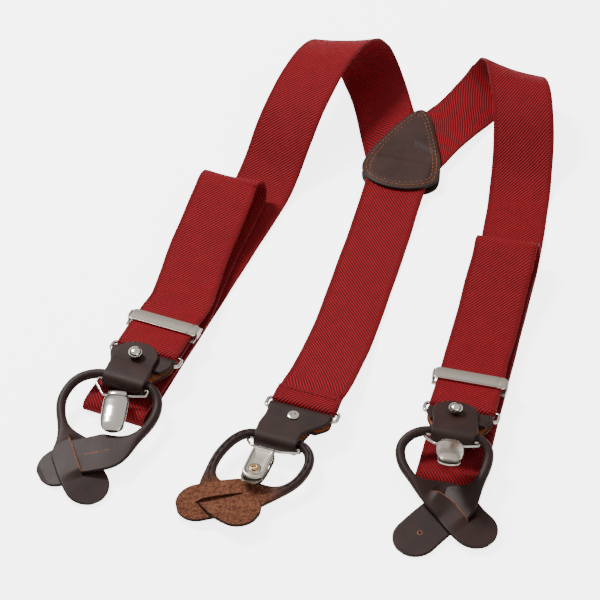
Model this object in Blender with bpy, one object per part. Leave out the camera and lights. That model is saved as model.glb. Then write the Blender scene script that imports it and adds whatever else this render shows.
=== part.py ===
"""Y-back suspenders laid out on a surface: three elastic webbings joined by a leather patch, and at each
webbing's end a ring, a leather hanger with a ball stud, a leather button loop and a metal clip.
Sizes are millimetres and become metres in add_mesh. X is to the right, +Y away from the viewer, +Z up.
The origin is under the middle of the back patch, on the surface the suspenders lie on."""

import math

import bmesh
import bpy
import numpy as np
from mathutils import Matrix

MM = 0.001

# Overall sizes.
WEB_WIDTH = 35.0
WEB_THICK = 1.6
LEATHER = 1.9
GAP = 0.3  # clearance between pieces that lie on each other

# Back patch: a soft triangle, its outline a smooth closed curve through these points.
PATCH_LEATHER = 1.3
PATCH_OUTLINE = [
    (11.2, 32.6),
    (17.4, 24.0),
    (20.6, 2.0),
    (21.7, -15.0),
    (17.8, -30.5),
    (2.5, -35.4),
    (-14.5, -31.0),
    (-23.8, -20.0),
    (-20.2, -5.0),
    (-3.0, 20.0),
]

# Ring: an oval of round wire that joins a webbing and a hanger.
RING_WIRE = 2.0
RING_SPARE = 1.3  # room between the webbing's edge and the ring's short bar
RING_LENGTH = WEB_WIDTH + 2 * (RING_WIRE + RING_SPARE)
RING_CORNER = 2.0
RING_SLOT = WEB_THICK + LEATHER + 4 * GAP
BAR = RING_SLOT / 2 + RING_WIRE / 2  # from the ring's middle to either long bar

# Turns of the webbing and of the leather round the ring's bars.
WEB_TURN = RING_WIRE / 2 + GAP + WEB_THICK / 2
SKIN_TURN = RING_WIRE / 2 + GAP + LEATHER / 2

# Button loop: a rolled round strap that ends in two flat tabs.
CORD = 5.2
TAB_WIDTH = 24.0
SLIT_SPARE = 2.5
SLIT_LENGTH = TAB_WIDTH + 2 * SLIT_SPARE
SLIT_LIFT = 2 * (LEATHER + GAP)
CORD_AT = 19.2  # from the ring's near bar to the loop's middle inside the hanger's fold

# Hanger strap.
HANGER_WIDTH = 24.0
HANGER_WIDE = WEB_WIDTH  # where it wraps the ring
FOLD_INSIDE = CORD / 2 + GAP
FOLD_TURN = FOLD_INSIDE + LEATHER / 2
CORD_UP = -SKIN_TURN + FOLD_TURN  # height of the loop's middle above the ring
FOLD_TOP = CORD_UP + FOLD_TURN
FLAP_TIP = -5.6
WRAP_END = 9.5

# Ball stud.
POST = 1.1
POST_AT = 5.0
POST_ASIDE = 2.2  # the flap and its stud sit to the left of the hanger's middle
POST_HOLE = POST + 0.4
BALL = 3.8
BALL_LOW = 2.7

# Clip.
BAIL_WIRE = 1.3
BAIL_SPARE = 2.5
BAIL_WIDE = HANGER_WIDTH + 2 * BAIL_SPARE
BAIL_NARROW = 13.0
BAIL_AT = CORD_AT + CORD / 2 + BAIL_WIRE / 2 + GAP
FOLD_MIDDLE = BAIL_AT - 1.6  # the middle of the hanger's fold, which holds the loop and the bail
FOLD_NOSE = FOLD_MIDDLE + FOLD_TURN + LEATHER / 2 - BAIL_AT  # how far the fold reaches past the bail
BAIL_DROP = FOLD_NOSE + 4.8
CLIP_LENGTH = 23.5
CLIP_WIDTH = 14.0
CLIP_SHEET = 0.8
PAD = 1.6

# Adjuster.
PLATE_SPARE = 2.5
PLATE_LENGTH = WEB_WIDTH + 2 * PLATE_SPARE
PLATE_HEIGHT = 9.0
PLATE_SHEET = 0.9
FRAME_HEIGHT = 13.0
ADJUSTER_AT = -25.0  # from the ring's middle, along the webbing

# Loose loops of webbing.
LOW_TURN = 3.0
TOP_TURN = 6.0

# Base colour, roughness and metallic value of each material.
LOOKS = {
    "webbing": ((0.31, 0.012, 0.018, 1), 0.8, 0.0),
    "leather": ((0.05, 0.03, 0.027, 1), 0.5, 0.0),
    "nickel": ((0.7, 0.68, 0.64, 1), 0.25, 1.0),
    "brass": ((0.8, 0.6, 0.25, 1), 0.25, 1.0),
    "rubber": ((0.2, 0.19, 0.18, 1), 0.8, 0.0),
}


def clear_scene():
    for obj in list(bpy.data.objects):
        bpy.data.objects.remove(obj, do_unlink=True)


def make_material(name, look):
    colour, roughness, metallic = LOOKS[look]
    material = bpy.data.materials.new(name)
    material.diffuse_color = colour
    material.use_nodes = True
    shader = material.node_tree.nodes["Principled BSDF"]
    shader.inputs["Base Color"].default_value = colour
    shader.inputs["Roughness"].default_value = roughness
    shader.inputs["Metallic"].default_value = metallic
    return material


def add_mesh(name, points, faces, look, origin=(0, 0, 0)):
    """One closed mesh object with its origin at the given point."""
    points = (np.asarray(points, float) - np.asarray(origin, float)) * MM
    mesh = bpy.data.meshes.new(name)
    mesh.from_pydata([tuple(p) for p in points], [], [tuple(f) for f in faces])
    shape = bmesh.new()
    shape.from_mesh(mesh)
    bmesh.ops.recalc_face_normals(shape, faces=shape.faces)
    shape.to_mesh(mesh)
    shape.free()
    mesh.materials.append(make_material(name, look))
    obj = bpy.data.objects.new(name, mesh)
    obj.location = tuple(np.asarray(origin, float) * MM)
    bpy.context.scene.collection.objects.link(obj)
    return obj


def sweep(name, rings, look, origin=(0, 0, 0), closed=False):
    """A tube through the given rings of points, capped at both ends unless the rings close on themselves."""
    rings = np.asarray(rings, float)
    count, size = rings.shape[:2]
    faces = []
    for i in range(count if closed else count - 1):
        j = (i + 1) % count
        for k in range(size):
            m = (k + 1) % size
            faces.append((i * size + k, i * size + m, j * size + m, j * size + k))
    if not closed:
        faces.append(tuple(range(size)))
        faces.append(tuple((count - 1) * size + k for k in range(size)))
    return add_mesh(name, rings.reshape(-1, 3), faces, look, origin)


def lathe(name, profile, place, look, around=16):
    """A solid turned about the w axis of a placement, from a profile of (radius, height) points."""
    angles = np.linspace(0, 2 * math.pi, around, endpoint=False)
    rows = [
        np.stack([r * np.cos(angles), r * np.sin(angles), np.full(around, h)], 1)
        for r, h in profile
    ]
    return sweep(name, [place(row) for row in rows], look, place((0, 0, 0)))


def plate(name, outline, low, high, place, look, origin=(0, 0, 0)):
    """A flat plate from an outline in u and v, between two heights."""
    outline = np.asarray(outline, float)
    rows = [np.column_stack([outline, np.full(len(outline), h)]) for h in (low, high)]
    return sweep(name, [place(row) for row in rows], look, place(origin))


def drill(obj, name, place, at, radius, low, high):
    """Cuts a round hole along the w axis of a placement."""
    bpy.ops.mesh.primitive_cylinder_add(
        vertices=16, radius=radius * MM, depth=(high - low) * MM
    )
    cutter = bpy.context.object
    cutter.name = name
    middle = place((at[0], at[1], (low + high) / 2))
    turn = np.eye(4)
    turn[:3, :3] = place.axes.T
    turn[:3, 3] = middle * MM
    cutter.matrix_world = Matrix(turn.tolist())
    cutter.hide_render = True
    cutter.display_type = "WIRE"
    cut = obj.modifiers.new("hole", "BOOLEAN")
    cut.object = cutter
    cut.solver = "EXACT"


class Place:
    """A placement: u runs along the strap towards its tip, v across it and w out of its front face."""

    def __init__(self, origin, heading, pitch=0.0, flipped=False):
        turn, rise = math.radians(heading), math.radians(pitch)
        along = np.array([-math.sin(turn), -math.cos(turn), 0.0])
        across = np.array([math.cos(turn), -math.sin(turn), 0.0])
        up = np.array([0.0, 0.0, 1.0])
        u = along * math.cos(rise) + up * math.sin(rise)
        w = up * math.cos(rise) - along * math.sin(rise)
        if flipped:
            across, w = -across, -w
        self.origin = np.asarray(origin, float)
        self.axes = np.array([u, across, w])

    def __call__(self, local):
        return self.origin + np.asarray(local, float) @ self.axes


def spline(stations, step=0.3):
    """A smooth curve through stations of any number of columns, the first three being the position."""
    stations = np.asarray(stations, float)
    chord = np.sqrt(np.linalg.norm(np.diff(stations[:, :3], axis=0), axis=1))
    knots = np.concatenate([[0], np.cumsum(chord)])
    slope = np.empty_like(stations)
    rate = np.diff(stations, axis=0) / np.diff(knots)[:, None]
    slope[0], slope[-1] = rate[0], rate[-1]
    before, after = np.diff(knots)[:-1, None], np.diff(knots)[1:, None]
    slope[1:-1] = (rate[:-1] * after + rate[1:] * before) / (before + after)
    rows = []
    for i in range(len(stations) - 1):
        width = knots[i + 1] - knots[i]
        length = np.linalg.norm(stations[i + 1, :3] - stations[i, :3])
        t = np.linspace(0, 1, max(4, int(length / step)), endpoint=False)[:, None]
        rows.append(
            (2 * t**3 - 3 * t**2 + 1) * stations[i]
            + (t**3 - 2 * t**2 + t) * width * slope[i]
            + (3 * t**2 - 2 * t**3) * stations[i + 1]
            + (t**3 - t**2) * width * slope[i + 1]
        )
    rows.append(stations[-1:])
    return np.concatenate(rows)


def thin_out(curve, most_turn=9.0, most_step=14.0):
    """Keeps the points of a fine curve where it has turned or run far enough, with its unit tangents."""
    tangent = np.gradient(curve[:, :3], axis=0)
    tangent /= np.linalg.norm(tangent, axis=1)[:, None]
    keep, last = [0], 0
    for i in range(1, len(curve) - 1):
        turned = math.degrees(math.acos(np.clip(tangent[i] @ tangent[last], -1, 1)))
        if turned > most_turn or np.linalg.norm(curve[i, :3] - curve[last, :3]) > most_step:
            keep.append(i)
            last = i
    keep.append(len(curve) - 1)
    return curve[keep], tangent[keep]


def sides(tangent, axis_angle, lean=0.0):
    """Unit width and face vectors of a strap from its tangents, plan angle and lean, in degrees."""
    angle, lean = np.radians(axis_angle), np.radians(lean)
    across = np.stack([np.cos(angle) * np.cos(lean), np.sin(angle) * np.cos(lean), np.sin(lean)], 1)
    across = across - (across * tangent).sum(1)[:, None] * tangent
    across /= np.linalg.norm(across, axis=1)[:, None]
    return across, np.cross(tangent, across)


def webbing(name, stations, slant=0.0, slant_run=32.0, origin=(0, 0, 0)):
    """A flat strap through stations of x, y, z, plan angle and lean. A slanted start fits the patch."""
    rows, tangent = thin_out(spline(stations))
    across, face = sides(tangent, rows[:, 3], rows[:, 4])
    run = np.concatenate([[0], np.cumsum(np.linalg.norm(np.diff(rows[:, :3], axis=0), axis=1))])
    skew = slant * np.clip(1 - run / slant_run, 0, 1)
    low = rows[:, 2] - abs(across[:, 2]) * WEB_WIDTH / 2 - abs(face[:, 2]) * WEB_THICK / 2
    rows[:, 2] += np.maximum(-low, 0)
    rings = []
    for side, out in ((-1, 1), (1, 1), (1, -1), (-1, -1)):
        edge = rows[:, :3] + across * side * WEB_WIDTH / 2 + face * out * WEB_THICK / 2
        rings.append(edge + tangent * (skew * side)[:, None])
    return sweep(name, np.stack(rings, 1), "webbing", origin)


def half_turn(middle, heading, radius, axis_angle, rising=True, shift=(0, 0), lean=0.0):
    """Stations of a half turn in the upright plane of a heading. The far side of the turn is along it."""
    turn = math.radians(heading)
    along = np.array([-math.sin(turn), -math.cos(turn)])
    found = []
    for step in range(5):
        angle = math.pi * step / 4
        if not rising:
            angle = math.pi - angle
        x, y = np.asarray(middle[:2]) + along * radius * math.sin(angle)
        x += shift[0] * (step / 4 - 0.5)
        y += shift[1] * (step / 4 - 0.5)
        found.append((x, y, middle[2] - radius * math.cos(angle), axis_angle, lean))
    return found


def ring_turn(place, heading, run, top=1):
    """Stations of the webbing over a ring's bar and back: in on one side and out on the other."""
    local = [(-run[0], 0, top * WEB_TURN), (-BAR - 4.5, 0, top * WEB_TURN)]
    for step in range(5):
        angle = math.pi * step / 4
        local.append((-BAR + WEB_TURN * math.sin(angle), 0, top * WEB_TURN * math.cos(angle)))
    local.append((-BAR - 4.5, 0, -top * WEB_TURN))
    local.append((-BAR - run[1], 0, -top * WEB_TURN))
    return [(*place(p), -heading, 0) for p in local]


def closed_curve(points, steps=4):
    """A smooth closed curve through points: a cubic from each point to the next, its slope at a point along
    the line between the point's neighbours."""
    here = np.asarray(points, float)
    before, after, later = np.roll(here, 1, 0), np.roll(here, -1, 0), np.roll(here, -2, 0)
    t = np.linspace(0, 1, steps, endpoint=False)[:, None, None]
    rows = 2 * here + (after - before) * t
    rows = rows + (2 * before - 5 * here + 4 * after - later) * t**2
    rows = rows + (3 * here - before - 3 * after + later) * t**3
    return (rows / 2).transpose(1, 0, 2).reshape(-1, 2)


def rounded(corners, radius, sides_each=8):
    """An outline with each corner rounded by an arc, corners given clockwise or anticlockwise."""
    corners = np.asarray(corners, float)
    found = []
    for i, corner in enumerate(corners):
        a = corners[i - 1] - corner
        b = corners[(i + 1) % len(corners)] - corner
        a, b = a / np.linalg.norm(a), b / np.linalg.norm(b)
        half = math.acos(np.clip(a @ b, -1, 1)) / 2
        middle = corner + (a + b) / np.linalg.norm(a + b) * radius / math.sin(half)
        start = corner + a * radius / math.tan(half) - middle
        end = corner + b * radius / math.tan(half) - middle
        first, last = math.atan2(start[1], start[0]), math.atan2(end[1], end[0])
        last = first + (last - first + math.pi) % (2 * math.pi) - math.pi
        for angle in np.linspace(first, last, sides_each):
            found.append(middle + radius * np.array([math.cos(angle), math.sin(angle)]))
    return found


def wire(name, points, diameter, origin, closed=False, around=8, turn=18.0):
    """A round wire along a smooth path."""
    if closed:
        rows = np.asarray(points, float)
        tangent = np.roll(rows, -1, 0) - np.roll(rows, 1, 0)
        tangent /= np.linalg.norm(tangent, axis=1)[:, None]
    else:
        rows, tangent = thin_out(spline(points), turn, 12.0)
        rows = rows[:, :3]
    normal = np.cross(tangent[0], [0.3, 0.2, 0.93])
    rings = []
    for p, t in zip(rows, tangent):
        normal = normal - (normal @ t) * t
        normal /= np.linalg.norm(normal)
        other = np.cross(t, normal)
        angles = np.linspace(0, 2 * math.pi, around, endpoint=False)
        rings.append(
            p + diameter / 2 * (np.cos(angles)[:, None] * normal + np.sin(angles)[:, None] * other)
        )
    return sweep(name, rings, "nickel", origin, closed)


def moved(points, shift, start=3.0, length=14.0):
    """Points in u, v and w after the strap has been pushed sideways by a smooth step along its length."""
    points = np.array(points, float).reshape(-1, 3)
    share = np.clip((points[:, 0] - start) / length, 0, 1)
    points[:, 1] += shift * share**2 * (3 - 2 * share)
    return points


# ---------------------------------------------------------------- placements of the three ends
HEADINGS = {"left": 21.0, "right": 13.5, "rear": 19.0}
ENDS = {
    "left": dict(strap=Place((-143.0, -170.6, 12.5), HEADINGS["left"], 8.0), pitch=0.0, shift=-1.5),
    "right": dict(strap=Place((25.2, -212.6, 12.5), HEADINGS["right"], 8.0), pitch=13.0, shift=0.0),
    "rear": dict(strap=Place((-58.7, -209.4, 11.2), HEADINGS["rear"], 4.0), pitch=0.0, shift=6.0),
}
for side, end in ENDS.items():
    # The skin starts at the ring's near bar. Past its sideways step, the fold has its own placement.
    start = end["strap"]((BAR, 0, 0))
    end["aside"] = POST_ASIDE if side == "rear" else -POST_ASIDE
    end["skin"] = Place(start, HEADINGS[side], end["pitch"], side == "rear")
    fold_start = end["skin"]((0, end["shift"], 0))
    end["hang"] = Place(fold_start, HEADINGS[side], end["pitch"], side == "rear")
    end["loop"] = Place(fold_start, HEADINGS[side], 0.0, side == "rear")


# ---------------------------------------------------------------- webbings
LAYER_1 = PATCH_LEATHER + GAP + WEB_THICK / 2
LAYER_2 = LAYER_1 + WEB_THICK + GAP
FLOOR = WEB_THICK / 2
PATCH_TOP = LAYER_2 + WEB_THICK / 2 + GAP

LEFT_ROUTE = (
    [
        (-5.5, 5.5, LAYER_1, 8, 0),
        (-7.6, 20.5, LAYER_1, 8, 0),
        (-10.0, 38.0, 1.6, 7, 0),
        (-12.5, 52.0, 1.5, 4, 0),
        (-16.5, 64.5, 5.0, 0, 3),
        (-22.0, 71.5, 14.0, -4, 6),
        (-28.0, 70.5, 25.0, -8, 9),
        (-35.5, 62.5, 33.0, -12, 9),
        (-44.0, 50.0, 36.0, -15, 7),
        (-53.0, 32.0, 35.0, -18, 4),
        (-62.5, 11.0, 29.5, -20, 2),
        (-69.5, -4.0, 20.5, -21, 0),
        (-76.2, -19.0, 9.0, -22, 0),
        (-82.6, -33.0, 2.4, -23, 0),
        (-91.5, -52.0, FLOOR, -23.7, 0),
        (-118.0, -112.0, FLOOR, -23.7, 0),
        (-140.0, -162.0, FLOOR, -23.7, 0),
        (-154.0, -194.5, FLOOR, -23.5, 0),
    ]
    + half_turn((-158.4, -204.2, FLOOR + LOW_TURN), 22.0, LOW_TURN, -22.0)
    + [
        (-155.4, -196.6, 6.2, -23, 0),
        (-149.5, -184.0, 5.0, -23, 0),
        (-139.0, -161.0, 4.0, -22, 0),
        (-126.4, -132.2, 3.6, -20, 0),
        (-118.0, -104.0, 3.6, -19, 0),
        (-110.0, -78.6, 4.2, -18, 0),
        (-103.0, -60.0, 5.6, -17, 0),
    ]
    + half_turn((-98.6, -41.5, 12.4), 180 + 18.0, TOP_TURN, -16.0, shift=(-3.6, 1.2))
    + [
        (-104.0, -52.5, 17.2, -15, 0),
        (-109.6, -69.0, 13.4, -15, 0),
        (-116.8, -90.5, 9.4, -15, 0),
        (-121.4, -109.8, 8.2, -16, 0),
        (-125.6, -127.3, 8.8, -20, 0),
    ]
    + ring_turn(ENDS["left"]["strap"], HEADINGS["left"], (34.0, 24.0))
)

RIGHT_ROUTE = (
    [
        (13.5, 3.0, LAYER_2, -33, 0),
        (21.2, 13.6, LAYER_2, -33, 0),
        (29.4, 24.4, 3.0, -33, 0),
        (37.5, 34.5, 1.6, -31, 0),
        (45.4, 44.2, 2.0, -28, -2),
        (54.0, 51.6, 6.0, -25, -5),
        (61.4, 53.0, 15.0, -22, -8),
        (65.6, 46.8, 24.6, -19, -8),
        (67.8, 35.5, 29.4, -14, -6),
        (69.2, 22.0, 29.6, -9, -3),
        (69.9, 7.5, 25.0, -5, -1),
        (69.6, -8.0, 15.0, -4, 0),
        (68.2, -22.0, 6.2, -4, 0),
        (66.2, -37.0, 1.6, -6, 0),
        (62.8, -58.0, FLOOR, -9, 0),
        (57.1, -88.0, FLOOR, -13, 0),
        (45.4, -137.0, FLOOR, -14, 0),
        (33.2, -186.6, FLOOR, -13.7, 0),
        (20.4, -240.0, FLOOR, -13.5, 0),
    ]
    + half_turn((17.5, -252.2, FLOOR + LOW_TURN), 13.5, LOW_TURN, -13.5)
    + [
        (19.2, -245.0, 6.2, -13.5, 0),
        (22.0, -233.0, 5.2, -13.5, 0),
        (28.4, -206.0, 4.0, -13.5, 0),
        (38.8, -163.0, 3.6, -14, 0),
        (46.6, -131.0, 4.0, -14, 0),
        (50.8, -113.0, 5.6, -13, 0),
    ]
    + half_turn((55.8, -92.4, 12.4), 180 + 12.0, TOP_TURN, -11.0, shift=(-1.6, 0.3))
    + [
        (52.8, -102.5, 17.0, -12, 0),
        (48.4, -118.5, 13.2, -13, 0),
        (43.4, -139.0, 9.8, -13, 0),
        (39.0, -156.0, 8.9, -13.5, 0),
        (35.4, -169.5, 9.3, -14, 0),
    ]
    + ring_turn(ENDS["right"]["strap"], HEADINGS["right"], (34.0, 24.0))
)

REAR_PLACE = ENDS["rear"]["strap"]
REAR_ROUTE = [
    (-0.6, -14.5, LAYER_2, -15, 0),
    (-4.6, -28.5, LAYER_2, -15.5, 0),
    (-9.2, -45.0, 2.2, -15.5, 0),
    (-15.4, -69.0, FLOOR, -15, 0),
    (-26.2, -108.7, FLOOR, -15.5, 0),
    (-36.2, -145.4, 2.4, -17, 0),
    (-44.2, -171.0, 6.2, -18, 0),
    (-49.6, -186.0, 8.4, -19, 0),
] + [
    (*REAR_PLACE(p), -19.0, 0)
    for p in (
        [(-17.0, 0, -0.9), (-12.0, 0, -1.0), (-BAR - 4.0, 0, -WEB_TURN)]
        + [
            (-BAR + WEB_TURN * math.sin(a), 0, -WEB_TURN * math.cos(a))
            for a in np.linspace(0, math.pi, 5)
        ]
        + [(-BAR - 4.0, 0, WEB_TURN - 0.1), (-BAR - 9.5, 0, 1.4)]
    )
]


def build_webbings():
    webbing("left_front_webbing", LEFT_ROUTE, slant=20.0)
    webbing("right_front_webbing", RIGHT_ROUTE, slant=-13.0)
    webbing("rear_webbing", REAR_ROUTE)


def build_patch():
    """Two leather triangles, with the webbings' ends between them."""
    flat = Place((0, 0, 0), 0)
    outline = [(-y, x) for x, y in closed_curve(PATCH_OUTLINE)]
    plate("patch_under_leather", outline, 0.0, PATCH_LEATHER, flat, "leather")
    middle = np.mean(outline, axis=0)
    rows = []
    levels = ((1.0, PATCH_TOP), (1.0, PATCH_TOP + 0.9), (0.965, PATCH_TOP + PATCH_LEATHER))
    for grow, height in levels:
        ring = middle + (np.asarray(outline) - middle) * grow
        rows.append(flat(np.column_stack([ring, np.full(len(ring), height)])))
    sweep("patch_top_leather", rows, "leather")


# ---------------------------------------------------------------- the pieces of one end
def ring(name, end):
    place = end["strap"]
    far, half = BAR, (RING_LENGTH - RING_WIRE) / 2
    corners = [(-far, -half), (-far, half), (far, half), (far, -half)]
    points = [place((u, v, 0)) for u, v in rounded(corners, RING_CORNER, 5)]
    wire(name, points, RING_WIRE, place((-BAR, 0, 0)), closed=True, around=10)


def hanger(name, end):
    """One leather strap: a short tab over the ring's bar, round it, along the back and folded to a flap."""
    place = end["skin"]
    top = SKIN_TURN
    route = [(WRAP_END, 0, top, HANGER_WIDE / 2 - 3), (4, 0, top, HANGER_WIDE / 2)]
    for angle in np.linspace(0, math.pi, 7):
        route.append((-SKIN_TURN * math.sin(angle), 0, top * math.cos(angle), HANGER_WIDE / 2))
    route += [
        (4.0, 0, -top, HANGER_WIDE / 2 - 0.6),
        (8.5, 0, -top, HANGER_WIDE / 2 - 2.6),
        (13.0, 0, -top, HANGER_WIDTH / 2 + 1.0),
        (17.0, 0, -top, HANGER_WIDTH / 2),
    ]
    for angle in np.linspace(0, math.pi, 9):
        route.append(
            (
                FOLD_MIDDLE + FOLD_TURN * math.sin(angle),
                0,
                CORD_UP - FOLD_TURN * math.cos(angle),
                HANGER_WIDTH / 2 - 0.5 * math.sin(angle),
            )
        )
    over = SKIN_TURN + LEATHER + GAP
    aside = end["aside"]
    route += [
        (17.0, 0, FOLD_TOP, HANGER_WIDTH / 2),
        (11.5, 0.4 * aside, max(FOLD_TOP - 0.4, over), HANGER_WIDTH / 2),
        (8.5, 0.8 * aside, over + 0.2, HANGER_WIDTH / 2),
        (4.0, aside, over, HANGER_WIDTH / 2),
    ]
    reach = 3.0 - FLAP_TIP
    for angle in np.radians([0, 20, 38, 54, 68, 80]):
        route.append(
            (3.0 - reach * math.sin(angle), aside, over, max(HANGER_WIDTH / 2 * math.cos(angle), 2.0))
        )
    route = np.asarray(route)
    tangent = np.gradient(route[:, :3], axis=0)
    tangent[:, 1] = 0
    tangent /= np.linalg.norm(tangent, axis=1)[:, None]
    face = np.cross(tangent, [0, 1, 0])
    rings = []
    for side, out in ((-1, 1), (1, 1), (1, -1), (-1, -1)):
        edge = route[:, :3] + np.outer(route[:, 3] * side, [0, 1, 0]) + face * out * LEATHER / 2
        rings.append(place(moved(edge, end["shift"])))
    skin = sweep(name, np.stack(rings, 1), "leather", place((0, 0, 0)))
    drill(skin, name + "_cutter", place, (POST_AT, aside), POST_HOLE, -6.0, 8.0)


def stud(name, end):
    """A riveted post with a disc behind the hanger and a ball in front of its flap."""
    place = end["skin"]
    back = -SKIN_TURN - LEATHER / 2 - GAP
    front = SKIN_TURN + LEATHER + GAP + LEATHER / 2 + GAP
    seat = Place(place((POST_AT, end["aside"], 0)), 0)
    seat.axes = place.axes
    profile = [(0.6, back - 0.6), (2.9, back - 0.5), (3.2, back - 0.2), (3.2, back), (POST, back)]
    profile += [(POST, front), (1.9, front + 0.1)]
    for angle in np.radians([-48, -25, 0, 25, 48, 68]):
        profile.append((BALL * math.cos(angle), front + BALL_LOW + BALL_LOW * math.sin(angle) * 0.98))
    profile.append((0.5, front + 2 * BALL_LOW))
    lathe(name, profile, seat, "nickel")


def button_loop(name, end, stations, slit_at):
    """A leather strap rolled round in its middle. Its second tab passes through a slit in its first."""
    place = end["loop"]
    stations = np.asarray(stations, float)
    fine = spline(stations, 0.4)
    rows, tangent = thin_out(fine, 12.0, 5.0)
    run = np.concatenate([[0], np.cumsum(np.linalg.norm(np.diff(rows[:, :3], axis=0), axis=1))])
    slit = run[int(np.argmin(np.linalg.norm(rows[:, :2] - np.asarray(slit_at), axis=1)))]
    # Rows that the slit needs are added, so that it opens over its full length.
    fine_run = np.concatenate([[0], np.cumsum(np.linalg.norm(np.diff(fine[:, :3], axis=0), axis=1))])
    reach = SLIT_LENGTH / 2
    wanted = [slit + d for d in (-reach, -reach + 2.2, -6, 0, 6, reach - 2.2, reach)]
    wanted += [r for r in run if abs(r - slit) > reach + 1.5]
    wanted = np.sort(wanted)
    rows = np.stack([np.interp(wanted, fine_run, column) for column in fine.T], 1)
    slope = np.gradient(fine[:, :3], axis=0)
    slope /= np.linalg.norm(slope, axis=1)[:, None]
    tangent = np.stack([np.interp(wanted, fine_run, column) for column in slope.T], 1)
    tangent /= np.linalg.norm(tangent, axis=1)[:, None]
    across = np.cross([0, 0, 1.0], tangent)
    across[:, 2] = 0
    across /= np.linalg.norm(across, axis=1)[:, None]
    face = np.cross(tangent, across)
    columns = np.linspace(-1, 1, 9)
    angle = np.pi * (1 - np.arange(9) / 8)
    edge = np.ones(9)
    edge[[0, -1]] = 0.45
    depth_round = np.clip(np.sin(angle), 0.12, 1)
    points, index = [], {}
    for i, row in enumerate(rows):
        half, depth, flat = row[3:6]
        open_here = max(0.0, 1 - max(0.0, abs(wanted[i] - slit) - (reach - 2.2)) / 2.2)
        in_slit = abs(wanted[i] - slit) < reach - 0.1
        for side in (1, -1):
            for k in range(9):
                v = half * ((1 - flat) * math.cos(angle[k]) + flat * columns[k])
                w = side * depth * ((1 - flat) * depth_round[k] + flat * edge[k])
                halves = ("a", "b") if (k == 4 and in_slit) else ("a" if k < 4 else "b",)
                for part in halves:
                    lift = 0.0
                    if open_here > 0 and abs(wanted[i] - slit) <= reach:
                        lift = SLIT_LIFT / 2 * open_here * (1 - abs(columns[k]))
                        lift = lift if part == "b" else -lift
                        if k == 4 and not in_slit:
                            lift = 0.0
                    index[i, side, k, part] = len(points)
                    points.append(row[:3] + across[i] * v + face[i] * (w + lift))
                if not (k == 4 and in_slit):
                    only = index[i, side, k, halves[0]]
                    index[i, side, k, "a"] = index[i, side, k, "b"] = only
    faces = []
    for i in range(len(rows) - 1):
        j = i + 1
        for side in (1, -1):
            for k in range(8):
                part = "a" if k < 4 else "b"
                corners = ((i, k), (i, k + 1), (j, k + 1), (j, k))
                faces.append(tuple(index[r, side, c, part] for r, c in corners))
        slit_here = any(index[r, 1, 4, "a"] != index[r, 1, 4, "b"] for r in (i, j))
        walls = [(0, "a"), (8, "a")] + ([(4, "a"), (4, "b")] if slit_here else [])
        for k, part in walls:
            corners = ((i, 1), (i, -1), (j, -1), (j, 1))
            faces.append(tuple(index[r, side, k, part] for r, side in corners))
    for i in (0, len(rows) - 1):
        top = [index[i, 1, k, "a"] for k in range(9)]
        low = [index[i, -1, k, "a"] for k in range(8, -1, -1)]
        faces.append(tuple(top + low))
    world = place(points)
    rows_of = np.zeros(len(points), int)
    for (i, *_), number in index.items():
        rows_of[number] = i
    for i in range(len(rows)):
        low = world[rows_of == i, 2].min()
        world[rows_of == i, 2] += max(-low, 0)
    add_mesh(name, world, faces, "leather", end["hang"]((CORD_AT, 0, CORD_UP)))


def turned(heading, local):
    """u and v after a turn about w."""
    angle = math.radians(heading)
    u, v = local
    return u * math.cos(angle) - v * math.sin(angle), u * math.sin(angle) + v * math.cos(angle)


def bail(name, end, lean, yaw, aside):
    """A bent wire through the hanger's fold, its ends hooked in to the clip, which hangs turned by yaw."""
    place = end["hang"]
    tilt = math.radians(lean)
    wide, narrow = BAIL_WIDE / 2, BAIL_NARROW / 2

    def at(v, drop):
        return place((BAIL_AT + drop * math.cos(tilt), v, CORD_UP - drop * math.sin(tilt)))

    low = []
    for v, rise in ((-narrow + 1.2, 0), (-narrow - 1.0, 0), (-narrow - 2.6, 1.2), (narrow + 2.6, 1.2),
                    (narrow + 1.0, 0), (narrow - 1.2, 0)):
        u, v = turned(yaw, (-rise, v))
        low.append((v + aside, BAIL_DROP + u))
    high = [(-wide + 0.2, FOLD_NOSE + 0.1), (-wide + 0.1, 1.1), (-wide + 1.2, 0.0), (-wide + 2.6, 0.0)]
    high += [(-wide + 6.5, 0.0), (0, 0.0)]
    path = low[:3] + high + [(-v, d) for v, d in high[-2::-1]] + low[3:]
    wire(name, [at(v, d) for v, d in path], BAIL_WIRE, at(0, 0), turn=22.0)


def clip_place(end, lean, clip_lean, yaw, aside):
    """The clip's placement: its origin is on the bail's ends, and u runs to its mouth."""
    hang = end["hang"]
    tilt, own = math.radians(lean), math.radians(clip_lean)
    origin = hang((BAIL_AT + BAIL_DROP * math.cos(tilt), aside, CORD_UP - BAIL_DROP * math.sin(tilt)))
    u, v, w = hang.axes
    place = Place(origin, 0)
    # The bail's plane gives the yaw's axis, and the clip then leans about its own width.
    flat, out = u * math.cos(tilt) - w * math.sin(tilt), w * math.cos(tilt) + u * math.sin(tilt)
    (c, d), (e, f) = turned(yaw, (1, 0)), turned(yaw, (0, 1))
    along, across = c * flat + d * v, e * flat + f * v
    turn = own - tilt
    place.axes = np.array(
        [
            along * math.cos(turn) - out * math.sin(turn),
            across,
            out * math.cos(turn) + along * math.sin(turn),
        ]
    )
    return place


def tongue(length, wide, tip, start, rounding=6):
    """Outline of a plate with a square end and a rounded tip, in u and v."""
    found = [(start, -wide / 2), (start, wide / 2), (length - tip, wide / 2)]
    for angle in np.linspace(90, -90, rounding + 1)[1:-1]:
        a = math.radians(angle)
        found.append((length - tip + tip * math.cos(a), wide / 2 * math.sin(a)))
    found.append((length - tip, -wide / 2))
    return found


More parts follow.
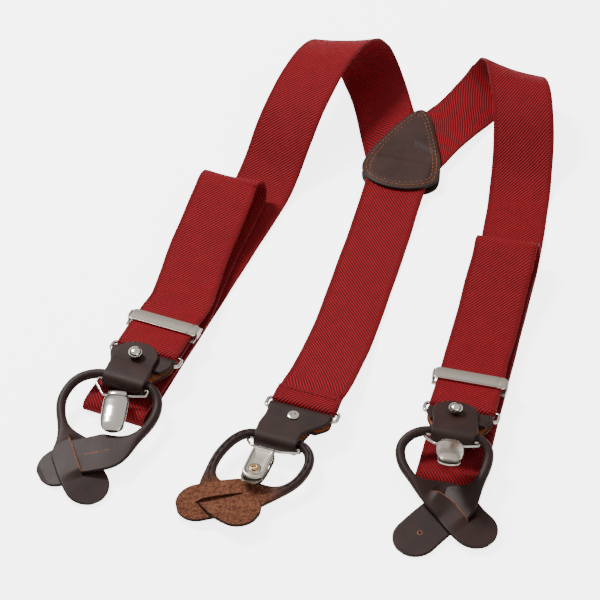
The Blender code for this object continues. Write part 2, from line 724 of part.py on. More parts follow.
def clip(name, place):
    """A back plate with a tongue round the bail, a domed lever, a rubber pad and a brass eyelet."""
    hold = BAIL_WIRE / 2 + GAP
    back = tongue(CLIP_LENGTH, CLIP_WIDTH - 2.4, 4.5, hold + 0.2)
    low = -hold - 0.1
    plate(name + "_back_plate", back, low - CLIP_SHEET, low, place, "nickel")
    inside = [(u * 0.86 + 1.8, v * 0.84) for u, v in back]
    plate(name + "_pad", inside[:], low + 0.15, low + 0.15 + PAD, place, "rubber")
    rows = []
    stations = [(-2.0, 0.2, 0.2), (0.5, 1.5, 0.6), (3.0, 2.2, 0.9), (10.0, 2.6, 1.0), (18.0, 2.3, 1.0)]
    stations += [(23.0, 1.4, 0.96), (CLIP_LENGTH + 0.8, 0.2, 0.8)]
    for u, rise, full in stations:
        half = CLIP_WIDTH / 2 * (0.82 + 0.18 * full)
        base = hold - 0.4
        angles = np.linspace(math.pi, 0, 7)
        outer = [(u, half * math.cos(a), base + 0.5 + CLIP_SHEET + rise * math.sin(a)) for a in angles]
        inner = [(u, (half - 0.7) * math.cos(a), base + 0.5 + rise * math.sin(a)) for a in angles[::-1]]
        rows.append(place(outer + inner))
    sweep(name + "_lever", rows, "nickel", place((0, 0, hold + 0.6)))
    eyelet = Place(place((CLIP_LENGTH - 6.5, 0, 0)), 0)
    eyelet.axes = place.axes
    high = low - CLIP_SHEET - 0.05
    ringed = [(1.0, high - 0.7), (2.0, high - 0.7), (2.3, high), (1.0, high)]
    angles = np.linspace(0, 2 * math.pi, 14, endpoint=False)
    rings = [
        np.array([(r * math.cos(a), r * math.sin(a), h) for r, h in ringed]) for a in angles
    ]
    sweep(name + "_eyelet", [eyelet(r) for r in rings], "brass", eyelet((0, 0, high)), closed=True)


def adjuster(name, place):
    """A frame behind the webbing and a plate hinged on the frame's ears in front of it."""
    slide = Place(place((ADJUSTER_AT, 0, WEB_TURN)), 0)
    slide.axes = place.axes
    half, tall = PLATE_LENGTH / 2, FRAME_HEIGHT / 2
    low = -WEB_THICK / 2 - GAP
    bar = 2.2
    ears = WEB_THICK / 2 + GAP
    outer = [(-tall, -half), (-tall, half), (tall, half), (tall, -half)]
    inner = [(-tall + bar, -half + 1.2), (-tall + bar, half - 1.2)]
    inner += [(tall - bar, half - 1.2), (tall - bar, -half + 1.2)]
    points, faces = [], []
    for height in (low, low - PLATE_SHEET):
        points += [(u, v, height) for u, v in outer + inner]
    for k in range(4):
        m = (k + 1) % 4
        faces += [(k, m, 4 + m, 4 + k), (8 + k, 8 + m, 12 + m, 12 + k)]
        faces += [(k, m, 8 + m, 8 + k), (4 + k, 4 + m, 12 + m, 12 + k)]
    frame = add_mesh(name + "_frame", slide(points), faces, "nickel", slide((0, 0, 0)))
    for side in (-1, 1):
        ear = Place(slide((0, side * (half + 0.1), 0)), 0)
        ear.axes = slide.axes
        outline = [(-2.6, -0.35), (-2.6, 0.35), (2.6, 0.35), (2.6, -0.35)]
        post = plate(name + f"_ear_cutter_{side}", outline, low - PLATE_SHEET, ears + 1.0, ear, "nickel")
        post.hide_render = True
        post.display_type = "WIRE"
        join = frame.modifiers.new("ear", "BOOLEAN")
        join.operation = "UNION"
        join.object = post
        join.solver = "EXACT"
    tip = half - 0.45
    front = [(-PLATE_HEIGHT / 2, -tip + 0.6), (-PLATE_HEIGHT / 2, tip - 0.6), (-2.0, tip), (2.2, tip)]
    front += [(PLATE_HEIGHT / 2, tip - 1.2), (PLATE_HEIGHT / 2, -tip + 1.2), (2.2, -tip), (-2.0, -tip)]
    hinge = (-PLATE_HEIGHT / 2, 0, ears + PLATE_SHEET / 2)
    plate(name + "_plate", front, ears, ears + PLATE_SHEET, slide, "nickel", hinge)


# ---------------------------------------------------------------- button loop routes, one for each end
ROUND = (CORD / 2, CORD / 2, 0.0)
FLAT = (TAB_WIDTH / 2, LEATHER / 2, 1.0)


def loop_route(end, first_tab, first_arm, second_arm, second_tab):
    """Stations from the first tab's tip, up one arm, through the hanger's fold and down to the second's."""
    level = end["loop"]
    across = [side * HANGER_WIDTH for side in (-0.525, -0.375, 0.0, 0.375, 0.525)]
    in_fold = [end["hang"]((CORD_AT, v, CORD_UP)) - level.origin for v in across]
    fold = [tuple(p @ level.axes.T) for p in in_fold]
    found = [(*p[:3], *p[3:]) for p in first_tab]
    found += [(*p, *ROUND) for p in first_arm + fold + second_arm]
    return found + [(*p[:3], *p[3:]) for p in second_tab]


def flat_run(points, tip_first):
    """Tab stations: full width along the run, narrowing round its tip."""
    half, depth, flat = FLAT
    found = [(*p, half, depth, flat) for p in points]
    tip = found[0] if tip_first else found[-1]
    before = found[1] if tip_first else found[-2]
    out = np.subtract(tip[:3], before[:3])
    out = out / np.linalg.norm(out)
    rounds = []
    for a in np.radians([30, 55, 75]):
        point = np.asarray(tip[:3]) + out * half * math.sin(a) * 0.95
        rounds.append((*point, half * max(math.cos(a), 0.2), depth, flat))
    return rounds[::-1] + found if tip_first else found + rounds


LOOPS = {
    "left": dict(
        slit=(71.5, -7.0),
        first_tab=flat_run(
            [(85.5, 6, -9.6), (83, 3, -8.8), (78.5, -1.5, -8), (71.5, -7, -7.5), (66.5, -11, -7.3)], True
        )
        + [(63, -14, -7.1, 8, 1.3, 0.85), (59, -18, -6.7, 4.6, 1.9, 0.4)],
        first_arm=[(54, -22, -6), (47.5, -26, -4.8), (40.5, -28.5, -3.2)]
        + [(34, -28, -1.5), (27, -25.5, 0.2), (21.8, -19.5, 1.3)],
        second_arm=[(20.8, 17, 0.7), (25, 20.6, -1.2), (31, 22.5, -2.6), (38.5, 22.5, -3.4), (46, 21, -3.8)],
        second_tab=[(53, 18, -4, 3.8, 2, 0.3), (58.5, 14.5, -4.1, 7.6, 1.4, 0.8)]
        + flat_run(
            [(63.5, 9.5, -4.2), (67, 4, -4.8), (69.5, -1.5, -6.1)]
            + [(71.5, -7, -7.5), (76, -10, -9.2), (79.5, -13.5, -10.3)],
            False,
        ),
    ),
    "right": dict(
        slit=(54.5, 7.5),
        first_tab=flat_run(
            [(66.5, 21.5, -8.8), (62, 15, -8.2), (54.5, 7.5, -7.5), (52.4, 2.6, -6.3)], True
        )
        + [(51, -3.2, -5.2, 9, 1.2, 0.9), (49.4, -9, -3.8, 6, 1.6, 0.6)],
        first_arm=[(47, -14.5, -2.8), (43.5, -18.5, -2), (38.5, -23, -1)]
        + [(33, -25.5, 0.4), (28, -26, 2.2), (21.6, -20.4, 5.6)],
        second_arm=[(19.4, 16.8, 5.2), (22.5, 19.6, 3.2), (27.6, 20.4, 1)]
        + [(33.4, 19.8, -0.6), (39, 18.6, -1.8)],
        second_tab=[(45, 16.6, -2.9, 4, 2, 0.3), (50, 13, -4.3, 9, 1.2, 0.85)]
        + flat_run(
            [(52.4, 10.2, -6.2), (54.5, 7.5, -7.5), (61.5, 1.6, -9.9)] + [(69, -3.4, -10.8), (77, -8, -11.4)],
            False,
        ),
    ),
    "rear": dict(
        slit=(63.5, 15.0),
        first_tab=flat_run([(69.5, 26.5, 7.2), (67.5, 23, 6.8), (63.5, 15, 5.9), (58.6, 4.4, 5.6)], True)
        + [(56, -2, 5.3, 8.5, 1.3, 0.85), (53, -8.6, 5, 4.6, 1.9, 0.4)],
        first_arm=[(48.5, -14.5, 4.6), (42.5, -18.5, 4.1), (36, -20.5, 3.5)]
        + [(28.6, -21, 2.9), (21.8, -18, 2.1)],
        second_arm=[(20.8, 17.2, 1.7), (26.6, 22, 2.2), (33, 24.8, 3), (40.5, 26.8, 4.2), (47.5, 27.2, 5.8)],
        second_tab=[(53, 26, 7.4, 4.6, 1.9, 0.4), (56.6, 23.4, 8.3, 8, 1.3, 0.85)]
        + flat_run([(59.4, 19.6, 7.9), (63.5, 15, 5.9), (67.5, 9.5, 4), (69, 3.5, 3.6)], False),
    ),
}


# For each end: how far its bail leans down, how far its clip leans down, how far the clip is turned and
# how far it hangs to one side.
LEANS = {
    "left": (6.0, 5.0, 15.0, 0.0),
    "right": (-10.0, -14.0, 8.0, 0.0),
    "rear": (22.0, 3.0, 0.0, 3.0),
}


def build_end(name, end):
    ring(f"{name}_ring", end)
    hanger(f"{name}_hanger_leather", end)
    stud(f"{name}_ball_stud", end)
    route = LOOPS[name]
    arms, tabs = ("first_arm", "second_arm"), ("first_tab", "second_tab")
    stations = loop_route(end, *[route[key] for key in (tabs[0], *arms, tabs[1])])
    button_loop(f"{name}_button_loop", end, stations, route["slit"])
    bail_lean, clip_lean, yaw, aside = LEANS[name]
    bail(f"{name}_clip_bail", end, bail_lean, yaw, aside)
    clip(f"{name}_clip", clip_place(end, bail_lean, clip_lean, yaw, aside))


def build():
    clear_scene()
    build_patch()
    build_webbings()
    for name, end in ENDS.items():
        build_end(name, end)
    for name in ("left", "right"):
        adjuster(f"{name}_adjuster", ENDS[name]["strap"])


build()
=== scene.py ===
import math

import bmesh
import bpy
import numpy as np
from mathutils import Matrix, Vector


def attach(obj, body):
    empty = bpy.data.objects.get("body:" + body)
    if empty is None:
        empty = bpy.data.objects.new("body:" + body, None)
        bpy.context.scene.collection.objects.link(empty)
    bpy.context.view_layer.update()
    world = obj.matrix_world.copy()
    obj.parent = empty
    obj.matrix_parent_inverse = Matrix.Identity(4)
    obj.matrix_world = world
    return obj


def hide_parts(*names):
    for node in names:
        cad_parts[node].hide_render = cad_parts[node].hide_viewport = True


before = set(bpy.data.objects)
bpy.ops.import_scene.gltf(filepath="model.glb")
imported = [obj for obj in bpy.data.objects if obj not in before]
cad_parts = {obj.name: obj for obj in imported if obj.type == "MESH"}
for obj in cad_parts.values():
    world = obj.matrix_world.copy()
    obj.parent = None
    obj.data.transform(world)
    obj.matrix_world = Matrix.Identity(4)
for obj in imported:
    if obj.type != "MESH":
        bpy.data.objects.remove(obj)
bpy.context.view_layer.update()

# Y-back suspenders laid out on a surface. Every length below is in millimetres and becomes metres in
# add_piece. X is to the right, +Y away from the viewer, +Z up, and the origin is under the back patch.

MM = 0.001

# The same driving sizes as the frame.
WEB_WIDTH = 35.0
WEB_THICK = 1.6
LEATHER = 1.9
GAP = 0.3
PATCH_LEATHER = 1.3
PATCH_OUTLINE = [
    (11.2, 32.6),
    (17.4, 24.0),
    (20.6, 2.0),
    (21.7, -15.0),
    (17.8, -30.5),
    (2.5, -35.4),
    (-14.5, -31.0),
    (-23.8, -20.0),
    (-20.2, -5.0),
    (-3.0, 20.0),
]
RING_WIRE = 2.0
RING_LENGTH = 41.6
RING_CORNER = 2.0
BAR = (WEB_THICK + LEATHER + 4 * GAP) / 2 + RING_WIRE / 2
WEB_TURN = RING_WIRE / 2 + GAP + WEB_THICK / 2
SKIN_TURN = RING_WIRE / 2 + GAP + LEATHER / 2
CORD = 5.2
TAB_WIDTH = 24.0
SLIT_REACH = 14.5
SLIT_LIFT = LEATHER + GAP
CORD_AT = 19.2
HANGER_WIDTH = 24.0
HANGER_WIDE = 35.0
FOLD_TURN = CORD / 2 + GAP + LEATHER / 2
CORD_UP = FOLD_TURN - SKIN_TURN
FOLD_TOP = CORD_UP + FOLD_TURN
FLAP_TIP = -5.6
WRAP_END = 9.5
POST_AT = 5.0
POST_ASIDE = 2.2
BALL = 3.8
BALL_LOW = 2.7
BAIL_WIRE = 1.3
BAIL_WIDE = 29.0
BAIL_NARROW = 13.0
BAIL_AT = CORD_AT + CORD / 2 + BAIL_WIRE / 2 + GAP
FOLD_MIDDLE = BAIL_AT - 1.6  # the middle of the hanger's fold, which holds the loop and the bail
FOLD_NOSE = FOLD_MIDDLE + FOLD_TURN + LEATHER / 2 - BAIL_AT  # how far the fold reaches past the bail
BAIL_DROP = FOLD_NOSE + 4.8
CLIP_LENGTH = 23.5
CLIP_WIDTH = 14.0
CLIP_SHEET = 0.8
CLIP_HOLD = BAIL_WIRE / 2 + GAP
CLIP_BACK = -CLIP_HOLD - 0.1
PAD = 1.6
PLATE_LENGTH = 40.0
PLATE_HEIGHT = 9.0
PLATE_SHEET = 0.9
ADJUSTER_AT = -25.0
LOW_TURN = 3.0
TOP_TURN = 6.0
FLOOR = WEB_THICK / 2
LAYER_1 = PATCH_LEATHER + GAP + WEB_THICK / 2
LAYER_2 = LAYER_1 + WEB_THICK + GAP
PATCH_TOP = LAYER_2 + WEB_THICK / 2 + GAP


# ---------------------------------------------------------------- materials
def linear(text):
    """An sRGB hex colour as linear RGBA: the low part divided by 12.92, the rest by the sRGB power curve."""
    values = [int(text[i : i + 2], 16) / 255 for i in (1, 3, 5)]
    return (*[v / 12.92 if v <= 0.04045 else ((v + 0.055) / 1.055) ** 2.4 for v in values], 1.0)


def add(tree, kind, settings=None, stops=(), **sockets):
    """Adds one shader node. settings are its properties, and stops a ramp's (position, hex colour) pairs. A
    socket name's spaces are written as _, and a name such as in0 is a socket's number. A socket takes a
    value, or another node's output as a link."""
    made = tree.nodes.new("ShaderNode" + kind)
    for key, value in (settings or {}).items():
        setattr(made, key, value)
    for number, (place, colour) in enumerate(stops):
        elements = made.color_ramp.elements
        element = elements[number] if number < 2 else elements.new(place)
        element.position, element.color = place, linear(colour)
    for key, value in sockets.items():
        target = made.inputs[int(key[2:])] if key[:2] == "in" else made.inputs[key.replace("_", " ")]
        if isinstance(value, bpy.types.NodeSocket):
            tree.links.new(value, target)
        else:
            target.default_value = value
    return made


def start_material(name, **constants):
    """A Principled material, with its constant sockets set."""
    material = bpy.data.materials.new(name)
    material.use_nodes = True
    tree = material.node_tree
    shader = tree.nodes["Principled BSDF"]
    for key, value in constants.items():
        shader.inputs[key.replace("_", " ")].default_value = value
    return material, tree, shader


COLOURS = dict(data_type="RGBA")  # the settings of a mix of two colours
CLAMPED = dict(operation="MULTIPLY_ADD", use_clamp=True)
RIB_PITCH = 1.42  # from one twill rib to the next, across the ribs
RIB_SLOPE = 50.0  # degrees between a rib and the webbing's width
YARN_PITCH = 0.75
SELVEDGE = 2.4
WAVE = 2 * math.pi / 20  # a wave texture's scale for bands one unit apart


def woven_elastic():
    """Crimson rayon-covered elastic, woven in a steep twill: ribs that catch the light slantwise, with
    painted light on the ribs and painted shade in the valleys between them, and a plain woven selvedge along
    both edges."""
    sheen = dict(Sheen_Weight=0.06, Sheen_Roughness=0.4)
    material, tree, shader = start_material(
        "woven_elastic_crimson", Roughness=0.7, Specular_IOR_Level=0.15, **sheen
    )
    shader.inputs["Sheen Tint"].default_value = linear("#D04050")
    uv = add(tree, "UVMap", dict(uv_map="strap")).outputs["UV"]
    slope = (0, 0, math.radians(90 - RIB_SLOPE))
    turned = add(tree, "Mapping", Vector=uv, Rotation=slope).outputs["Vector"]
    down = dict(bands_direction="Y")
    ribs = add(tree, "TexWave", Vector=turned, Scale=WAVE / RIB_PITCH, Distortion=0.35, Detail=1.0)
    yarns = add(tree, "TexWave", down, Vector=turned, Scale=WAVE / YARN_PITCH, Distortion=0.6)
    edge_yarns = add(tree, "TexWave", down, Vector=uv, Scale=WAVE / 1.1, Distortion=0.5)
    # The selvedge is 0 inside the strap and 1 along its edges.
    across = add(tree, "SeparateXYZ", Vector=uv).outputs["X"]
    from_middle = add(tree, "Math", dict(operation="ABSOLUTE"), in0=across).outputs[0]
    inner = WEB_WIDTH / 2 - SELVEDGE
    to_edge = add(tree, "Math", dict(operation="SUBTRACT"), in0=inner, in1=from_middle).outputs[0]
    selvedge = add(tree, "Math", CLAMPED, in0=to_edge, in1=-3.0, in2=0.5).outputs[0]
    # The height is mostly ribs, with a fifth of yarns; the colour follows it, as painted shade where it is
    # low and painted light where it is high.
    rise = add(tree, "Math", dict(operation="MULTIPLY"), in0=ribs.outputs["Fac"], in1=0.8).outputs[0]
    both = dict(operation="MULTIPLY_ADD")
    body = add(tree, "Math", both, in0=yarns.outputs["Fac"], in1=0.2, in2=rise).outputs[0]
    edge_height = edge_yarns.outputs["Fac"]
    height = add(tree, "Mix", dict(data_type="FLOAT"), in0=selvedge, in2=body, in3=edge_height).outputs[0]
    # The yarn's crimson, with painted shade in the rib valleys and painted light on the rib tops.
    tones = [(0.05, "#280204"), (0.4, "#66060D"), (0.9, "#9E111E")]
    woven = add(tree, "ValToRGB", stops=tones, Fac=height).outputs["Color"]
    # The selvedge's yarns, with painted shade between them and painted light on them.
    edge_tones = [(0.1, "#5C060C"), (0.9, "#800B15")]
    plain = add(tree, "ValToRGB", stops=edge_tones, Fac=edge_height).outputs["Color"]
    colour = add(tree, "Mix", COLOURS, in0=selvedge, in6=woven, in7=plain).outputs[2]
    wobble = add(tree, "TexNoise", Vector=uv, Scale=0.12, Detail=2.0).outputs["Fac"]
    patchy = add(tree, "ValToRGB", stops=[(0.35, "#E6E6E6"), (0.65, "#FFFFFF")], Fac=wobble).outputs["Color"]
    darker = dict(data_type="RGBA", blend_type="MULTIPLY")
    colour = add(tree, "Mix", darker, in0=0.5, in6=colour, in7=patchy).outputs[2]
    tree.links.new(colour, shader.inputs["Base Color"])
    bump = add(tree, "Bump", Strength=0.85, Distance=0.4 * MM, Height=height)
    tree.links.new(bump.outputs["Normal"], shader.inputs["Normal"])
    return material


def tanned_leather(
    name, grain, pebble, high="#301D19", low="#231512", flesh="#9C5630", gloss=0.44, cut="#1C100D"
):
    """Drum-dyed cowhide: a smooth dyed grain side with a fine pebble, an undyed fibrous flesh side where the
    piece's flesh attribute is 1, and dark cut edges where its edge attribute is 1. grain is the pebble's
    size in millimetres and pebble its depth."""
    material, tree, shader = start_material(name, Specular_IOR_Level=0.2)
    place = add(tree, "TexCoord").outputs["Object"]
    fine = 1 / (grain * MM)
    cells = add(tree, "TexVoronoi", dict(feature="SMOOTH_F1"), Vector=place, Scale=fine, Smoothness=0.6)
    blotch = add(tree, "TexNoise", Vector=place, Scale=90.0, Detail=4.0).outputs["Fac"]
    fibre = add(tree, "TexNoise", Vector=place, Scale=1400.0, Detail=3.0).outputs["Fac"]
    nap = add(tree, "TexNoise", Vector=place, Scale=620.0, Detail=6.0, Roughness=0.8).outputs["Fac"]
    # Colour: the dyed grain, the flesh side's nap with painted shade where it is low and painted light on its
    # high tufts, then the cut edges.
    dyed = add(tree, "ValToRGB", stops=[(0.3, low), (0.72, high)], Fac=blotch).outputs["Color"]
    raw = linear(flesh)
    # Painted shade: the raw flesh colour darkened for the nap's hollows; painted light: lightened for its
    # high tufts, chosen by the nap's height.
    shaded_tufts = add(tree, "Mix", COLOURS, in0=0.6, in6=raw, in7=linear("#2A130A")).outputs[2]
    lit_tufts = add(tree, "Mix", COLOURS, in0=0.25, in6=raw, in7=linear("#C98A66")).outputs[2]
    spread = add(tree, "Math", CLAMPED, in0=nap, in1=4.0, in2=-1.5).outputs[0]
    rough_side = add(tree, "Mix", COLOURS, in0=spread, in6=shaded_tufts, in7=lit_tufts).outputs[2]
    flesh_here = add(tree, "Attribute", dict(attribute_name="flesh")).outputs["Fac"]
    edge_here = add(tree, "Attribute", dict(attribute_name="edge")).outputs["Fac"]
    colour = add(tree, "Mix", COLOURS, in0=flesh_here, in6=dyed, in7=rough_side).outputs[2]
    colour = add(tree, "Mix", COLOURS, in0=edge_here, in6=colour, in7=linear(cut)).outputs[2]
    tree.links.new(colour, shader.inputs["Base Color"])
    # Roughness: the flesh side is matt, and the grain side varies with its blotches.
    matt = add(tree, "Math", CLAMPED, in0=flesh_here, in1=0.45, in2=gloss).outputs[0]
    rough = add(tree, "Math", CLAMPED, in0=blotch, in1=0.16, in2=matt).outputs[0]
    tree.links.new(rough, shader.inputs["Roughness"])
    # Relief: the pebble with fine fibres, and a deep nap on the flesh side.
    deep = add(tree, "Math", dict(operation="MULTIPLY"), in0=nap, in1=5.0).outputs[0]
    napped = add(tree, "Math", dict(operation="MULTIPLY"), in0=deep, in1=flesh_here).outputs[0]
    both = dict(operation="MULTIPLY_ADD")
    pebbled = add(tree, "Math", both, in0=fibre, in1=0.25, in2=cells.outputs["Distance"]).outputs[0]
    grained = add(tree, "Math", dict(operation="ADD"), in0=pebbled, in1=napped).outputs[0]
    bump = add(tree, "Bump", Strength=0.7, Distance=pebble * MM, Height=grained)
    tree.links.new(bump.outputs["Normal"], shader.inputs["Normal"])
    return material


def plated(name, colour, roughness, scratch, tone=0.0):
    """Plated metal, polished or brushed: fine scratches vary its roughness, and a brushed face also has
    them as shallow grooves. scratch is the grooves' depth in millimetres."""
    material, tree, shader = start_material(name, Metallic=1.0)
    place = add(tree, "TexCoord").outputs["Object"]
    long = add(tree, "Mapping", Vector=place, Scale=(900.0, 9000.0, 3000.0)).outputs["Vector"]
    lines = add(tree, "TexNoise", Vector=long, Scale=1.0, Detail=2.0).outputs["Fac"]
    cloud = add(tree, "TexNoise", Vector=place, Scale=160.0, Detail=3.0).outputs["Fac"]
    bright = linear(colour)
    dim = add(tree, "Mix", COLOURS, in0=0.18 + tone, in6=bright, in7=linear("#4A4640")).outputs[2]
    dull = add(tree, "Mix", COLOURS, in0=cloud, in6=bright, in7=dim).outputs[2]
    tree.links.new(dull, shader.inputs["Base Color"])
    both = dict(operation="MULTIPLY_ADD")
    worn = add(tree, "Math", both, in0=lines, in1=0.14, in2=roughness - 0.05).outputs[0]
    rough = add(tree, "Math", CLAMPED, in0=cloud, in1=0.1, in2=worn).outputs[0]
    tree.links.new(rough, shader.inputs["Roughness"])
    bump = add(tree, "Bump", Strength=0.5, Distance=scratch * MM, Height=lines)
    tree.links.new(bump.outputs["Normal"], shader.inputs["Normal"])
    return material


def moulded_rubber():
    """Moulded grey rubber: matt, with a faint bloom."""
    material, tree, shader = start_material("moulded_rubber_grey", Roughness=0.85)
    place = add(tree, "TexCoord").outputs["Object"]
    cloud = add(tree, "TexNoise", Vector=place, Scale=900.0, Detail=3.0).outputs["Fac"]
    bloom = add(tree, "ValToRGB", stops=[(0.3, "#7C7770"), (0.7, "#9A958C")], Fac=cloud)
    tree.links.new(bloom.outputs["Color"], shader.inputs["Base Color"])
    bump = add(tree, "Bump", Strength=0.4, Distance=0.1 * MM, Height=cloud)
    tree.links.new(bump.outputs["Normal"], shader.inputs["Normal"])
    return material


def twisted_thread(name, low, high):
    """Waxed polyester thread: a tight twist with bright strands and dark gaps, painted as light and shade in
    its colour.
    """
    material, tree, shader = start_material(name, Roughness=0.7, Specular_IOR_Level=0.2)
    place = add(tree, "TexCoord").outputs["Object"]
    turns = add(tree, "TexNoise", Vector=place, Scale=2500.0, Detail=1.0).outputs["Fac"]
    # Fine noise between two tones: painted light on the strands and painted shade in the gaps between them.
    strands = add(tree, "ValToRGB", stops=[(0.35, low), (0.65, high)], Fac=turns)
    tree.links.new(strands.outputs["Color"], shader.inputs["Base Color"])
    return material


WEBBING = woven_elastic()
SMOOTH_LEATHER = tanned_leather("drum_dyed_cowhide_smooth", 0.55, 0.07)
PATCH_HIDE = tanned_leather("drum_dyed_cowhide_pebbled", 1.0, 0.15, "#38241F", "#2C1C18", gloss=0.46)
SUEDE_LEATHER = tanned_leather("cowhide_flesh_side_out", 0.6, 0.08, flesh="#4A2012", cut="#24140F")
POLISHED_NICKEL = plated("nickel_plate_polished", "#D2CBC2", 0.09, 0.0005)
SATIN_NICKEL = plated("nickel_plate_satin", "#C2B9AC", 0.27, 0.004, 0.05)
POLISHED_BRASS = plated("brass_rivet_polished", "#D2A55A", 0.18, 0.005)
RUBBER = moulded_rubber()
TAN_THREAD = twisted_thread("waxed_thread_tan", "#5E2E16", "#9A5A34")
DARK_THREAD = twisted_thread("waxed_thread_maroon", "#24040A", "#43080E")


# ---------------------------------------------------------------- placements and curves
class Place:
    """A placement: u runs along a strap towards its tip, v across it and w out of its front face."""

    def __init__(self, origin, heading, pitch=0.0, flipped=False):
        turn, rise = math.radians(heading), math.radians(pitch)
        along = np.array([-math.sin(turn), -math.cos(turn), 0.0])
        across = np.array([math.cos(turn), -math.sin(turn), 0.0])
        up = np.array([0.0, 0.0, 1.0])
        u = along * math.cos(rise) + up * math.sin(rise)
        w = up * math.cos(rise) - along * math.sin(rise)
        sign = -1 if flipped else 1
        self.origin = np.asarray(origin, float)
        self.axes = np.array([u, across * sign, w * sign])

    def __call__(self, local):
        return self.origin + np.asarray(local, float) @ self.axes

    def moved(self, local):
        """The same axes from another origin."""
        other = Place(self(local), 0)
        other.axes = self.axes
        return other


def spline(stations, step=0.3):
    """A smooth curve through stations: cubic Hermite pieces whose slopes are weighted means of the chords on
    either side, with knots spaced by the square root of each chord's length."""
    stations = np.asarray(stations, float)
    chord = np.sqrt(np.linalg.norm(np.diff(stations[:, :3], axis=0), axis=1))
    knots = np.concatenate([[0], np.cumsum(chord)])
    slope = np.empty_like(stations)
    rate = np.diff(stations, axis=0) / np.diff(knots)[:, None]
    slope[0], slope[-1] = rate[0], rate[-1]
    before, after = np.diff(knots)[:-1, None], np.diff(knots)[1:, None]
    slope[1:-1] = (rate[:-1] * after + rate[1:] * before) / (before + after)
    rows = []
    for i in range(len(stations) - 1):
        width = knots[i + 1] - knots[i]
        length = np.linalg.norm(stations[i + 1, :3] - stations[i, :3])
        t = np.linspace(0, 1, max(4, int(length / step)), endpoint=False)[:, None]
        rows.append(
            (2 * t**3 - 3 * t**2 + 1) * stations[i]
            + (t**3 - 2 * t**2 + t) * width * slope[i]
            + (3 * t**2 - 2 * t**3) * stations[i + 1]
            + (t**3 - t**2) * width * slope[i + 1]
        )
    rows.append(stations[-1:])
    return np.concatenate(rows)


def smoothed(rows, reach):
    """Each column averaged over the rows within reach, twice, which rounds off every change. A straight
    run up to either end is kept."""
    kernel = np.ones(2 * reach + 1) / (2 * reach + 1)
    for _ in range(2):
        padded = np.pad(rows, ((reach, reach), (0, 0)), "reflect", reflect_type="odd")
        rows = np.stack([np.convolve(column, kernel, "valid") for column in padded.T], 1)
    return rows


def lengths_along(points):
    return np.concatenate([[0], np.cumsum(np.linalg.norm(np.diff(points[:, :3], axis=0), axis=1))])


def evenly(curve, spacing, extra=()):
    """The curve's columns at equal distances along it, with unit tangents and distances. extra adds more
    distances, so that a row falls exactly there."""
    run = lengths_along(curve)
    wanted = np.linspace(0, run[-1], max(4, int(run[-1] / spacing)))
    wanted = np.unique(np.concatenate([wanted, np.asarray(extra, float)]))
    rows = np.stack([np.interp(wanted, run, column) for column in curve.T], 1)
    slope = np.gradient(curve[:, :3], run, axis=0)
    tangent = np.stack([np.interp(wanted, run, column) for column in slope.T], 1)
    tangent /= np.linalg.norm(tangent, axis=1)[:, None]
    return rows, tangent, wanted


def unit(rows):
    return rows / np.linalg.norm(rows, axis=-1, keepdims=True)


def turned(heading, local):
    angle = math.radians(heading)
    u, v = local
    return u * math.cos(angle) - v * math.sin(angle), u * math.sin(angle) + v * math.cos(angle)


def moved(points, shift, start=3.0, length=14.0):
    """Points in u, v, w pushed sideways by a smooth step along u: 3s squared less 2s cubed times shift."""
    share = np.clip((points[..., 0] - start) / length, 0, 1)
    points = points.copy()
    points[..., 1] += shift * share**2 * (3 - 2 * share)
    return points


def closed_curve(points, steps=24):
    """A smooth closed curve through points: a cubic from each point to the next, its slope at a point along
    the line between the point's neighbours."""
    here = np.asarray(points, float)
    before, after, later = np.roll(here, 1, 0), np.roll(here, -1, 0), np.roll(here, -2, 0)
    t = np.linspace(0, 1, steps, endpoint=False)[:, None, None]
    rows = 2 * here + (after - before) * t
    rows = rows + (2 * before - 5 * here + 4 * after - later) * t**2
    rows = rows + (3 * here - before - 3 * after + later) * t**3
    return (rows / 2).transpose(1, 0, 2).reshape(-1, 2)


def rounded(corners, radius, steps=8):
    """An outline with each corner rounded by an arc."""
    corners = np.asarray(corners, float)
    found = []
    for i, corner in enumerate(corners):
        a, b = unit(corners[i - 1] - corner), unit(corners[(i + 1) % len(corners)] - corner)
        half = math.acos(np.clip(a @ b, -1, 1)) / 2
        middle = corner + unit(a + b) * radius / math.sin(half)
        start = corner + a * radius / math.tan(half) - middle
        end = corner + b * radius / math.tan(half) - middle
        first, last = math.atan2(start[1], start[0]), math.atan2(end[1], end[0])
        last = first + (last - first + math.pi) % (2 * math.pi) - math.pi
        angles = np.linspace(first, last, steps)
        found.append(middle + radius * np.column_stack([np.cos(angles), np.sin(angles)]))
    return np.concatenate(found)


def around_outline(outline, count):
    """A closed outline's points at equal distances."""
    closed = np.vstack([outline, outline[:1]])
    run = lengths_along(np.column_stack([closed, np.zeros(len(closed))]))
    wanted = np.linspace(0, run[-1], count, endpoint=False)
    return np.column_stack([np.interp(wanted, run, closed[:, k]) for k in (0, 1)])


# ---------------------------------------------------------------- pieces
def grid_faces(rows, columns, close_rows=False, close_columns=True, start=0):
    """The quads of a grid of rows and columns."""
    last_row = rows if close_rows else rows - 1
    last_column = columns if close_columns else columns - 1
    i, k = np.meshgrid(np.arange(last_row), np.arange(last_column), indexing="ij")
    j, m = (i + 1) % rows, (k + 1) % columns
    quads = np.stack([i * columns + k, i * columns + m, j * columns + m, j * columns + k], -1)
    return (quads.reshape(-1, 4) + start).tolist()


